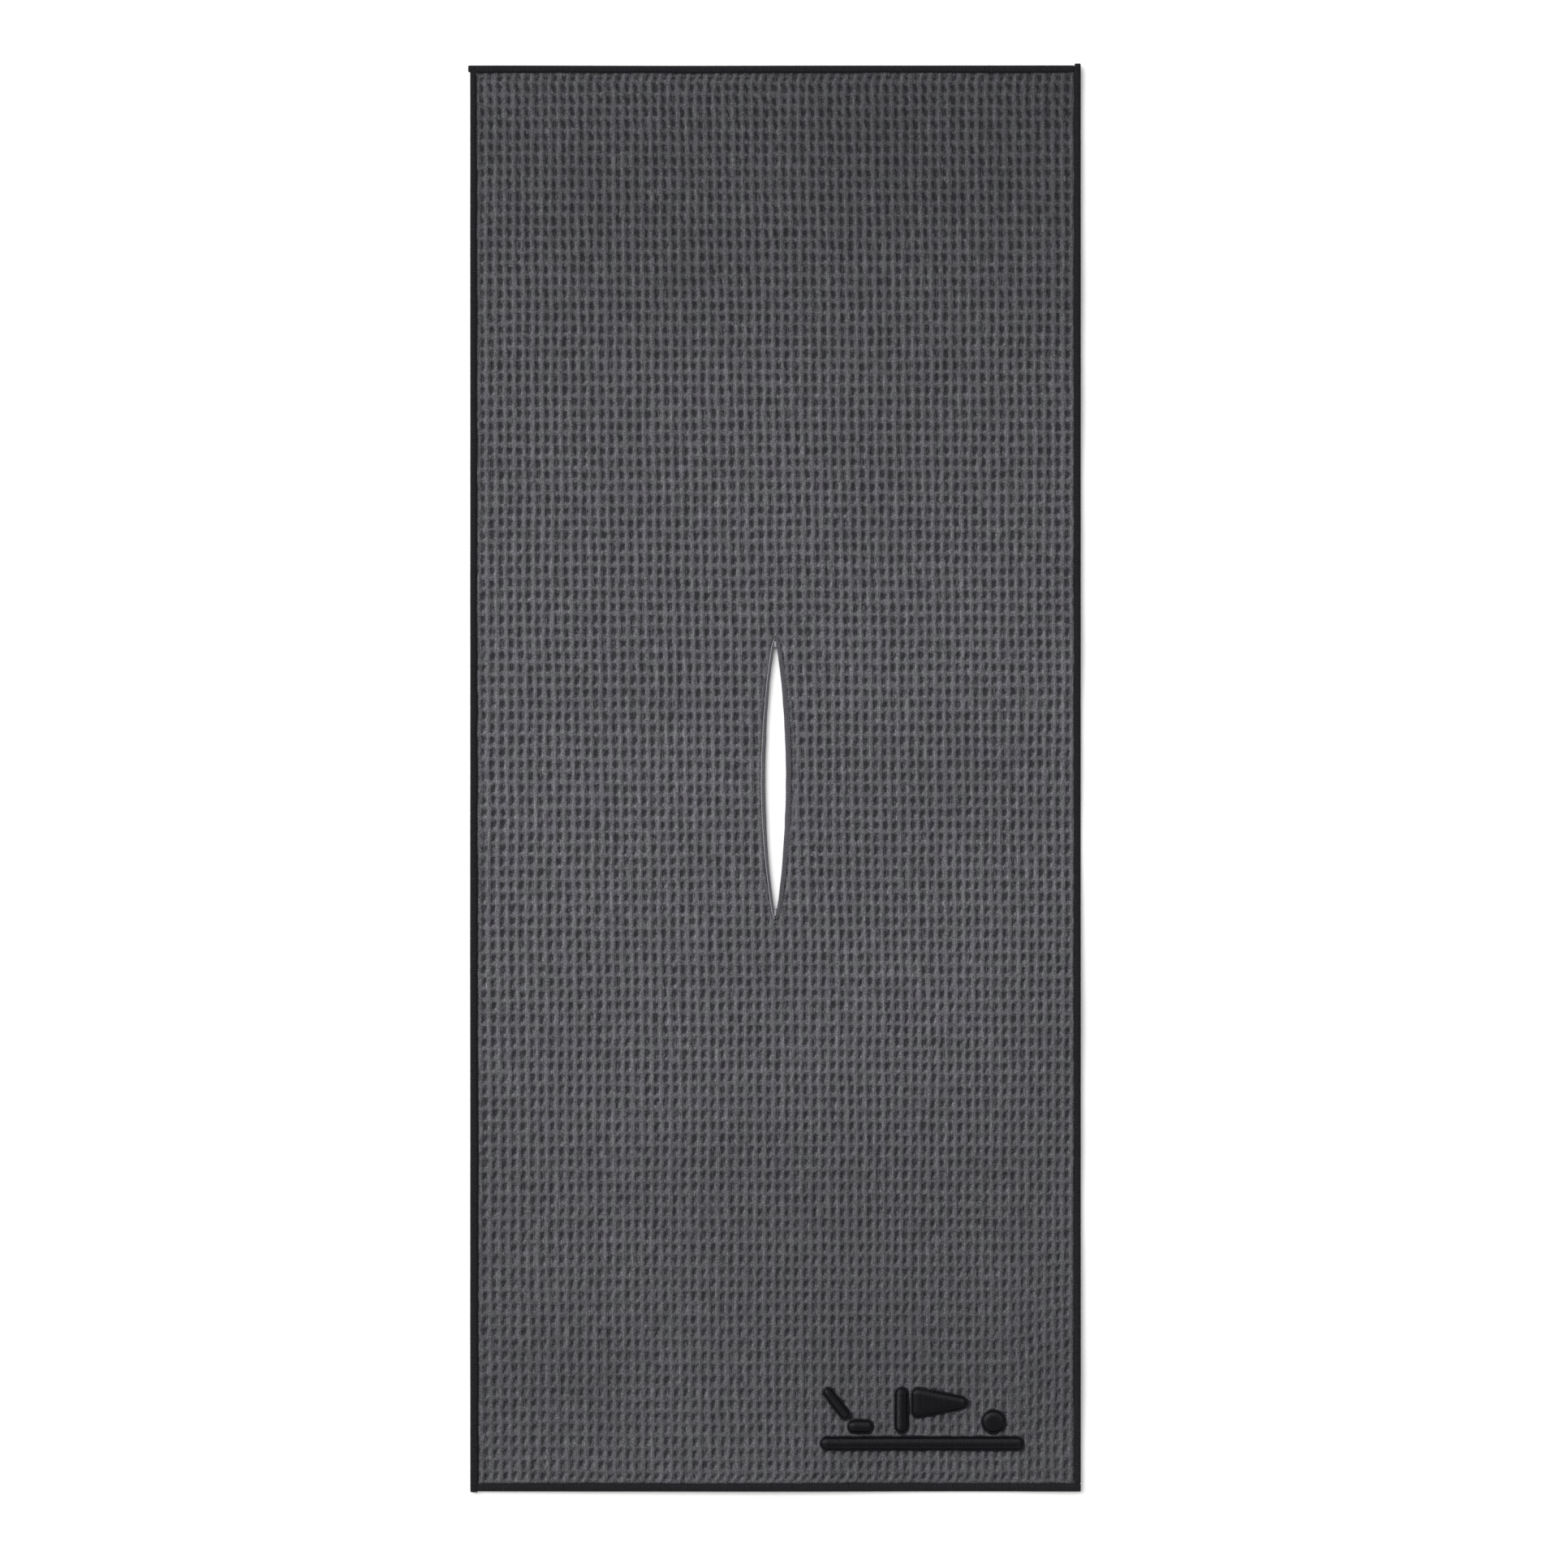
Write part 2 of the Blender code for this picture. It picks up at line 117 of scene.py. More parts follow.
def drift(x, y, size, seed):
    """Smooth random values from -1 to 1 that change over about size metres of the towel."""
    columns, rows = int(0.7 / size) + 3, int(1.4 / size) + 3
    lattice = np.random.default_rng(seed).uniform(-1.0, 1.0, (rows, columns))
    across, along = (x + 0.35) / size, (y + 0.7) / size
    column, row = np.floor(across).astype(int), np.floor(along).astype(int)
    s, t = smooth(across - column), smooth(along - row)
    low = lattice[row, column] * (1 - s) + lattice[row, column + 1] * s
    high = lattice[row + 1, column] * (1 - s) + lattice[row + 1, column + 1] * s
    return low * (1 - t) + high * t


def waver(run, size, seed):
    """The same along one line."""
    return drift(0.0 * run, run, size, seed)


def lie(x, y):
    """How far the lying towel's slack lifts it off its surface at each point."""
    height = bpy.context.scene.golf_towel_cloth.slack
    waves = (
        np.sin(2 * np.pi * (x / 0.34 + y / 0.71) + 0.6)
        + 0.8 * np.sin(2 * np.pi * (y / 0.243 - x / 0.52) + 2.1)
        + 0.5 * np.sin(2 * np.pi * (x / 0.19 + y / 0.33) + 4.0)
    )
    # The bindings are a little tighter than the cloth, and ripple it along its long edges.
    ripple = np.sin(2 * np.pi * (y / 0.087 + x / 0.9)) + 0.6 * np.sin(2 * np.pi * (y / 0.131 + 0.3))
    edge = smooth((np.abs(x) - 0.150) / 0.067)
    # The stitching round the slit holds the middle flat.
    middle = np.exp(-((x / 0.060) ** 2) - (y / 0.150) ** 2)
    waves = (1.0 - 0.8 * middle) * (waves / 2.3 + 1.0)
    return height * (0.8 * waves + 0.2 * edge * (ripple / 1.6 + 1.0)) / 2.0


# ---------------------------------------------------------------- settings


def length(name, description, default):
    """A length property that shows tenths of a millimetre."""
    return bpy.props.FloatProperty(
        name=name, description=description, default=default, min=0.0, precision=5, unit="LENGTH"
    )


def colour(name, description, default):
    """A colour property whose default is an sRGB hex colour."""
    return bpy.props.FloatVectorProperty(
        name=name, description=description, default=linear(default), min=0.0, max=1.0, subtype="COLOR"
    )


class ClothSettings(bpy.types.PropertyGroup):
    columns: bpy.props.IntProperty(
        name="Columns", description="Waffle pits across the towel", default=64, min=2
    )
    rows: bpy.props.IntProperty(
        name="Rows", description="Waffle pits along the towel", default=117, min=2
    )
    thickness: length("Cloth thickness", "Thickness of the woven cloth itself", 0.0008)
    relief: length("Relief", "Height from the floor of a pit to the top of a ridge", 0.0014)
    slack: length("Slack", "How far the lying towel's gentle waves lift it", 0.0030)
    ridge: colour("Ridge", "Colour of the pile on the ridges", "#757579")
    # The pit colour is painted shade: the pile down in the pits is painted darker than on the ridges.
    pit: colour("Pit", "Colour of the pile down in the pits", "#29282c")


class BindingSettings(bpy.types.PropertyGroup):
    left_butt_width: length("Left width at top", "Width of the left tape at its top end", 0.0047)
    top_turn: length("Top turn", "How much further the top tape turns over the face", 0.0004)
    stitch: length("Stitch", "Length of one stitch of the binding seams", 0.0017)
    thread: length("Thread", "Diameter of the sewing thread", 0.00045)
    tape: colour("Tape", "Colour of the binding tape", "#19181b")
    seam: colour("Seam", "Colour of the binding seams' thread", "#0d0c0f")


class SlitSettings(bpy.types.PropertyGroup):
    facing_width: length("Facing width", "Width of a slit facing in the packed solids", 0.0030)
    left_width: length("Left width", "Width of the left facing, seen from the front", 0.0022)
    right_width: length("Right width", "Width of the right facing, seen from the front", 0.0032)
    stitch: length("Stitch", "Length of one stitch of the slit's seams", 0.0040)
    thread: length("Thread", "Diameter of the slit's sewing thread", 0.00055)
    facing: colour("Facing", "Colour of the slit's folded facings", "#4d4b50")
    seam: colour("Seam", "Colour of the slit's light sewing thread", "#8f8e91")
    veiled: colour("Veiled", "Colour of the light thread where the pile covers it", "#5c5b5e")


class MotifSettings(bpy.types.PropertyGroup):
    puff: length("Puff", "Height of the padded satin over the cloth", 0.0031)
    thread: length("Thread", "Spacing of the satin stitch's laid threads", 0.00045)
    satin: colour("Satin", "Colour of the satin stitch", "#06050a")
    foam: colour("Foam", "Colour of the foam under the satin stitch", "#262626")
    backing: colour("Backing", "Colour of the cut-away backing", "#2f2f31")


class StageSettings(bpy.types.PropertyGroup):
    floor: colour("Floor", "Colour of the floor", "#fcfcfc")
    sky: bpy.props.FloatProperty(
        name="Sky", description="Strength of the even light from all round", default=0.78, min=0.0
    )
    box: bpy.props.FloatProperty(
        name="Box", description="How much brighter the sky is on the upper left", default=0.55, min=0.0
    )
    key: bpy.props.FloatProperty(
        name="Key", description="Strength of the soft light from the upper left", default=2.6, min=0.0
    )
    view_width: length("View width", "Width of the floor that the camera sees", 1.118)
    lens: bpy.props.FloatProperty(
        name="Lens", description="Focal length", default=110.0, min=10.0, unit="CAMERA"
    )


SETTINGS = {
    "golf_towel_cloth": ClothSettings,
    "golf_towel_binding": BindingSettings,
    "golf_towel_slit": SlitSettings,
    "golf_towel_motif": MotifSettings,
    "golf_towel_stage": StageSettings,
}


# ---------------------------------------------------------------- materials


def add_node(owner, kind, inputs=None, stops=None, output=0, **settings):
    """Adds one node and gives back one of its outputs. An input given as a socket is linked, and
    any other value is set on it."""
    tree = owner.node_tree
    node = tree.nodes.new(kind)
    for name, value in settings.items():
        setattr(node, name, value)
    for key, value in (inputs or {}).items():
        if isinstance(value, bpy.types.NodeSocket):
            tree.links.new(value, node.inputs[key])
        else:
            node.inputs[key].default_value = value
    for element, (place, shade) in zip(node.color_ramp.elements if stops else (), stops or ()):
        element.position = place
        element.color = (*shade, 1.0)
    return node.outputs[output]


def new_material(name, **values):
    """A Principled material with the given values on the shader's own sockets."""
    material = bpy.data.materials.new(name)
    material.use_nodes = True
    shader = material.node_tree.nodes["Principled BSDF"]
    for key, value in values.items():
        shader.inputs[key.replace("_", " ")].default_value = value
    return material, shader


def waffle_microfibre(settings):
    """Polyester and nylon microfibre, woven in a waffle, its pile raised by brushing: matt and soft,
    with painted shade in the pits, beside the seams and towards the top, foot and right, painted
    highlights on loose strands, a grain of loose fibre, and tints that wander a little from cell to
    cell."""
    material, shader = new_material(
        "waffle_woven_microfibre",
        Roughness=0.95,
        IOR=1.53,
        Specular_IOR_Level=0.15,
        Sheen_Weight=0.10,
        Sheen_Roughness=0.60,
    )
    pile = add_node(material, "ShaderNodeAttribute", output="Fac", attribute_name="pile")
    painted_shade_and_tone = add_node(material, "ShaderNodeAttribute", output="Fac", attribute_name="painted_shade_and_tone")
    place = add_node(material, "ShaderNodeTexCoord", output="Object")
    normal = add_node(material, "ShaderNodeNewGeometry", output="Normal")
    upward = add_node(material, "ShaderNodeSeparateXYZ", {0: normal}, output="Z")
    under = add_node(material, "ShaderNodeMath", {0: upward, 1: 0.0}, operation="LESS_THAN")
    # A pit on the face is a ridge on the back.
    turned = add_node(material, "ShaderNodeMath", {0: 1.0, 1: pile}, operation="SUBTRACT")
    height = add_node(material, "ShaderNodeMix", {0: under, 2: pile, 3: turned})
    # Loose fibres clump at 1.3 mm. One fibre is far finer than that, and wouldn't show.
    fuzz = add_node(
        material,
        "ShaderNodeTexNoise",
        {"Vector": place, "Scale": 1 / 0.0013, "Detail": 4.0, "Roughness": 0.75},
    )
    ragged = add_node(
        material, "ShaderNodeMath", {0: fuzz, 1: 1.9, 2: height}, operation="MULTIPLY_ADD"
    )
    # Yarns run along the ridges, 0.8 mm across, and stand proud for a centimetre or so. The real
    # ones are finer: they are drawn coarser to show.
    stretched = add_node(
        material,
        "ShaderNodeMapping",
        {"Vector": place, "Scale": (1 / 0.0008, 1 / 0.012, 1 / 0.0008)},
    )
    yarn = add_node(
        material, "ShaderNodeTexNoise", {"Vector": stretched, "Scale": 1.0, "Detail": 2.0}
    )
    loosened = add_node(
        material, "ShaderNodeMath", {0: yarn, 1: 0.9, 2: ragged}, operation="MULTIPLY_ADD"
    )
    # Here and there a whole strand, loosened by brushing, catches the light: it gets a painted
    # highlight.
    strand = add_node(material, "ShaderNodeMapRange", {0: yarn, 1: 0.58, 2: 0.72, 3: 0.0, 4: 0.55})
    height_and_painted_highlight = add_node(material, "ShaderNodeMath", {0: loosened, 1: strand}, operation="ADD")
    # The sum of the height and the noises mostly lies between 0.9 and 3.0.
    shown = add_node(material, "ShaderNodeMapRange", {0: height_and_painted_highlight, 1: 0.9, 2: 3.0})
    # The ramp paints painted shade into the pits and painted highlights on loose strands, between the
    # pit and ridge colours.
    tone = add_node(
        material,
        "ShaderNodeValToRGB",
        {0: shown},
        [(0.28, settings.pit), (0.95, settings.ridge)],
    )
    # A grain of single fibres, drawn at 0.9 mm, many times coarser than they are, so that it shows
    fleck = add_node(
        material,
        "ShaderNodeTexNoise",
        {"Vector": place, "Scale": 1 / 0.0009, "Detail": 2.0, "Roughness": 0.8},
    )
    grain = add_node(material, "ShaderNodeMapRange", {0: fleck, 1: 0.30, 2: 0.70, 3: 0.32, 4: 1.68})
    # The fibre grain is scaled by the painted shade and tone read from the mesh.
    grain_and_painted_shade = add_node(material, "ShaderNodeMath", {0: grain, 1: painted_shade_and_tone}, operation="MULTIPLY")
    shaded = add_node(
        material, "ShaderNodeVectorMath", {0: tone, "Scale": grain_and_painted_shade}, operation="SCALE"
    )
    # The dye takes a little differently every centimetre or so.
    dye = add_node(
        material, "ShaderNodeTexNoise", {"Vector": place, "Scale": 1 / 0.014, "Detail": 2.0}
    )
    tint = add_node(
        material,
        "ShaderNodeValToRGB",
        {0: dye},
        [(0.35, (0.985, 1.01, 0.975)), (0.65, (1.02, 0.985, 1.04))],
    )
    dyed = add_node(material, "ShaderNodeVectorMath", {0: shaded, 1: tint}, operation="MULTIPLY")
    raised = add_node(
        material, "ShaderNodeBump", {"Strength": 1.0, "Distance": 0.0005, "Height": fuzz}
    )
    material.node_tree.links.new(dyed, shader.inputs["Base Color"])
    material.node_tree.links.new(raised, shader.inputs["Normal"])
    return material


def ribbed_cloth(
    name, base, rib, specular, sheen, contrast, uneven=3.0, twisted=False, roughness=0.72
):
    """Yarn-dyed cloth or thread whose yarns lie across its run, or aslant where it is twisted. Rib
    is their spacing along the run attribute, uneven is how far that wanders, and their crowns get a
    painted highlight and their hollows painted shade, over a mottle of lint."""
    material, shader = new_material(
        name,
        Roughness=roughness,
        IOR=1.53,
        Specular_IOR_Level=specular,
        Sheen_Weight=sheen,
        Sheen_Roughness=0.45,
    )
    run = add_node(material, "ShaderNodeAttribute", output="Vector", attribute_name="run")
    place = add_node(material, "ShaderNodeTexCoord", output="Object")
    # A wave's bands are 2 pi / 20 apart at a scale of 1.
    ribs = add_node(
        material,
        "ShaderNodeTexWave",
        {
            "Vector": run,
            "Scale": 2 * math.pi / (20 * rib),
            "Distortion": uneven,
            "Detail": 2.0,
            "Detail Scale": 2.0 if twisted else 1.0,
        },
        output="Fac",
        wave_type="BANDS",
        bands_direction="DIAGONAL" if twisted else "X",
    )
    lint = add_node(
        material, "ShaderNodeTexNoise", {"Vector": place, "Scale": 1 / 0.0012, "Detail": 3.0}
    )
    both = add_node(material, "ShaderNodeMath", {0: ribs, 1: lint}, operation="ADD")
    half = add_node(material, "ShaderNodeMath", {0: both, 1: 0.5}, operation="MULTIPLY")
    # Painted highlight on the ribs' crowns and painted shade in their hollows, over the lint's own
    # mottle.
    dark = tuple(channel * (1 - contrast) for channel in base)
    light = tuple(min(1.0, channel * (1 + contrast)) for channel in base)
    tone = add_node(material, "ShaderNodeValToRGB", {0: half}, [(0.2, dark), (0.8, light)])
    raised = add_node(
        material, "ShaderNodeBump", {"Strength": 0.5, "Distance": 0.0001, "Height": both}
    )
    material.node_tree.links.new(tone, shader.inputs["Base Color"])
    material.node_tree.links.new(raised, shader.inputs["Normal"])
    return material


# ---------------------------------------------------------------- meshes


def new_piece(name, points, faces, material, node, run=None):
    """A smooth-shaded piece in place of one CAD node. Its run says where each point lies along and
    round its yarns."""
    mesh = bpy.data.meshes.new(name)
    mesh.from_pydata(np.reshape(points, (-1, 3)), [], faces)
    mesh.update()
    mesh.shade_smooth()
    mesh.materials.append(material)
    obj = bpy.data.objects.new(name, mesh)
    bpy.context.scene.collection.objects.link(obj)
    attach(obj, "root")
    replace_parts(obj, node)
    if run is not None:
        run = np.stack(np.broadcast_arrays(*run, 0.0), axis=-1)
        write_on(obj, "run", run.reshape(-1, 3))
    return obj


def write_on(obj, name, values):
    """Keeps one number, or one vector, for each point of the piece's mesh."""
    values = np.ascontiguousarray(values, dtype=np.float32)
    kind, field = ("FLOAT", "value") if values.ndim == 1 else ("FLOAT_VECTOR", "vector")
    layer = obj.data.attributes.new(name, kind, "POINT")
    layer.data.foreach_set(field, values.ravel())


def thicken(obj, thickness, offset):
    """Gives a surface its cloth's thickness. An offset of 0 keeps the surface in the middle."""
    body = obj.modifiers.new("thickness", "SOLIDIFY")
    body.thickness = thickness
    body.offset = offset


def tube_faces(rings, sides):
    """Faces of a closed tube: bands between its rings of points, and a cap on each end."""
    ring = np.arange(rings - 1)[:, None] * sides
    side = np.arange(sides)[None, :]
    after = (side + 1) % sides
    corners = [ring + side, ring + sides + side, ring + sides + after, ring + after]
    bands = np.stack(corners, axis=-1).reshape(-1, 4).tolist()
    last = (rings - 1) * sides
    return [*bands, list(range(sides)), list(range(last + sides - 1, last - 1, -1))]


def grid_faces(rows, columns):
    """Faces of a surface of rows by columns of points."""
    row = np.arange(rows - 1)[:, None] * columns
    column = np.arange(columns - 1)[None, :]
    corners = [row + column, row + column + 1, row + columns + column + 1, row + columns + column]
    return np.stack(corners, axis=-1).reshape(-1, 4)


def round_strand(path, radius, sides=6):
    """Rings of points round a path, right-hand side first and then the top."""
    along = np.gradient(path, axis=0)
    along /= np.linalg.norm(along, axis=1, keepdims=True)
    aside = np.cross(along, UP)
    aside /= np.linalg.norm(aside, axis=1, keepdims=True)
    above = np.cross(aside, along)
    turn = np.linspace(0.0, 2 * np.pi, sides, endpoint=False)[None, :, None]
    return path[:, None] + radius * (np.cos(turn) * aside[:, None] + np.sin(turn) * above[:, None])


def new_thread(node, rings, material):
    """One thread from its rings of points, in place of the CAD node that stands for it."""
    stations, sides = rings.shape[:2]
    steps = np.linalg.norm(np.diff(rings.mean(axis=1), axis=0), axis=1)
    along = np.concatenate([[0.0], np.cumsum(steps)])[:, None]
    around = np.arange(sides)[None, :] / sides * 0.001
    name = node.removesuffix("_thread") + "_stitches"
    new_piece(name, rings, tube_faces(stations, sides), material, node, (along, around))


def lock_stitches(route, stitch, radius, seed, on_back=False, height=0.0021, dive=0.00085):
    """One continuous thread that lies along the cloth and dives into it after each stitch."""
    steps = np.linalg.norm(np.diff(route, axis=0), axis=1)
    run = np.concatenate([[0.0], np.cumsum(steps)])
    count = max(1, round(run[-1] / stitch))
    share = np.array((0.0, 0.12, 0.24, 0.5, 0.76, 0.88))
    lift = dive * np.array((-1.0, -0.35, 0.0, 0.1, 0.0, -0.35))
    at = ((np.arange(count)[:, None] + share) * run[-1] / count).ravel()
    uneven = np.random.default_rng(seed).uniform(-1.0, 1.0, (count, 2))
    x, y = (np.interp(at, run, route[:, axis]) for axis in (0, 1))
    slant = (share - 0.5)[None, :] * 0.00012 + uneven[:, :1] * 0.00005
    along = np.gradient(np.stack([x, y], axis=1), axis=0)
    along /= np.linalg.norm(along, axis=1, keepdims=True)
    x, y = x + along[:, 1] * slant.ravel(), y - along[:, 0] * slant.ravel()
    z = height + np.tile(lift, count) + np.repeat(uneven[:, 1] * 0.00003, len(share))
    if on_back:
        z = 2 * CLOTH_HEIGHT - z
    return round_strand(np.stack([x, y, z + lie(x, y)], axis=1), radius)


# ---------------------------------------------------------------- the towel's outlines


def slit_arc(y):
    """Half the slit's width as it was cut at each height y: an arc from end to end."""
    settings = bpy.context.scene.golf_towel_slit
    half = HALF_SLIT
    end = FACING_LOW[0] - MIDDLE[0]
    rise = FACING_HIGH[0] - settings.facing_width - FACING_LOW[0]
    radius = (half**2 + rise**2) / (2 * rise)
    above = np.clip(np.abs(y - MIDDLE[1]), 0.0, half)
    return end + np.sqrt(radius**2 - above**2) - (radius - rise)


def slit_edge(y):
    """Half the slit's opening, which the cloth's give makes blunter near its ends than an arc."""
    half = HALF_SLIT
    below = np.clip(half - np.abs(y - MIDDLE[1]), 0.0, half)
    return slit_arc(y) + 0.0009 * (1.0 - np.minimum(below / 0.066, 1.0)) * smooth(below / 0.0025)


def slit_reach(y, sign):
    """How far the facing on one side reaches from the slit's middle. The sign is -1 for the left
    one, which is folded narrower. Both close to a point beyond the slit's ends."""
    settings = bpy.context.scene.golf_towel_slit
    half = HALF_SLIT
    beyond = (np.abs(y - MIDDLE[1]) - half) / (TACK_HIGH[1] - MIDDLE[1] - half)
    closing = 1.0 - 0.85 * np.clip(beyond, 0.0, 1.0) ** 1.3
    width = np.where(np.asarray(sign) < 0, settings.left_width, settings.right_width)
    return (slit_arc(y) + width) * closing


def binding_sides():
    """Each binding's place: the corner where it starts, the way it runs, the way off the towel,
    its length, and its width at its start and at its end."""
    settings = bpy.context.scene.golf_towel_binding
    plan = []
    # The last number is how much of each tape's width its seam draws under, in metres.
    for name, along, off, drawn_under in (
        ("top", (1, 0, 0), (0, 1, 0), 0.0003),
        ("right", (0, -1, 0), (1, 0, 0), 0.0006),
        ("bottom", (-1, 0, 0), (0, -1, 0), 0.0007),
        ("left", (0, 1, 0), (-1, 0, 0), 0.0006),
    ):
        low, high = (np.array(corner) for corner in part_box(name + "_binding"))
        along, off = np.array(along, float), np.array(off, float)
        corner = np.where(off - along > 0, high, low)
        size = high - low
        width = abs(size @ off) + (settings.top_turn if name == "top" else 0.0)
        plan.append(
            {
                "name": name,
                "corner": corner * (1, 1, 0),
                "along": along,
                "off": off,
                "length": abs(size @ along),
                "over_width": width - drawn_under,
                "butt_width": (settings.left_butt_width if name == "left" else width) - drawn_under,
                "seed": SEEDS["tape"] + 10 * len(plan),
            }
        )
    return plan


def tape_width(side, stations):
    """A binding's width at each distance from its start: it tapers, and its edge wavers."""
    share = np.clip(stations / side["length"], 0.0, 1.0)
    width = side["over_width"] + (side["butt_width"] - side["over_width"]) * share
    along = np.clip(stations, 0.0, 1.1) - 0.5
    width = width + 0.00030 * waver(along, 0.019, side["seed"])
    return width + 0.00014 * waver(along, 0.0031, side["seed"] + 1)


def inside_bindings(x, y):
    """How far each point is inside the nearest binding's inner edge."""
    nearest = np.full(np.shape(x), np.inf)
    for side in binding_sides():
        away = np.stack([x - side["corner"][0], y - side["corner"][1]], axis=-1)
        along, inward = away @ side["along"][:2], -(away @ side["off"][:2])
        nearest = np.minimum(nearest, inward - tape_width(side, along))
    return nearest


def outside_slit(x, y):
    """How far each point is outside the slit's facings."""
    above = np.abs(y - MIDDLE[1]) - (TACK_HIGH[1] - MIDDLE[1])
    beside = np.abs(x - MIDDLE[0]) - slit_reach(y, x - MIDDLE[0])
    return np.where(above > 0, np.hypot(np.maximum(beside, 0.0), above), beside)


# ---------------------------------------------------------------- the embroidered motif


def motif_shapes():
    """Each shape's spine, one to three corners, and the radius round the spine."""
    boxes = {}
    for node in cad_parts:
        if node.endswith("_satin"):
            boxes[node.removesuffix("_satin")] = [np.array(c)[:2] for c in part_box(node)]
    stroke = (boxes["ground_line"][1][1] - boxes["ground_line"][0][1]) / 2
    shapes = {}
    for name, (low, high) in boxes.items():
        size = high - low
        radius = min(size) / 2
        if name == "pennant":
            radius = stroke
        if name == "club_shaft":
            radius = stroke * 0.76
        low, high = low + radius, high - radius
        spine = [low, high]
        if name == "ball":
            spine = [low - (0.0001, 0.0), low + (0.0001, 0.0)]
        if name == "club_shaft":
            spine = [np.array((high[0], low[1])), np.array((low[0], high[1]))]
        if name == "pennant":
            spine = [low, np.array((high[0], (low[1] + high[1]) / 2)), np.array((low[0], high[1]))]
        shapes[name] = (spine, radius)
    return shapes


def to_segment(points, start, end):
    """How far each point is from a straight line between two others."""
    reach = end - start
    share = np.clip((points - start) @ reach / (reach @ reach), 0.0, 1.0)
    return np.linalg.norm(points - start - share[..., None] * reach, axis=-1)


def outside_shape(points, spine, radius):
    """How far each point is outside a shape. It is below nothing inside the shape."""
    if len(spine) == 2:
        return to_segment(points, *spine) - radius
    nearest = np.full(points.shape[:-1], np.inf)
    inside = np.ones(points.shape[:-1], bool)
    for start, end in zip(spine, spine[1:] + spine[:1]):
        nearest = np.minimum(nearest, to_segment(points, start, end))
        edge, away = end - start, points - start
        inside &= edge[0] * away[..., 1] - edge[1] * away[..., 0] > 0
    return np.where(inside, -nearest, nearest) - radius


def outside_motif(x, y):
    """How far each point is outside the nearest of the motif's shapes."""
    points = np.stack([x, y], axis=-1)
    return np.min([outside_shape(points, *shape) for shape in motif_shapes().values()], axis=0)


# ---------------------------------------------------------------- operators


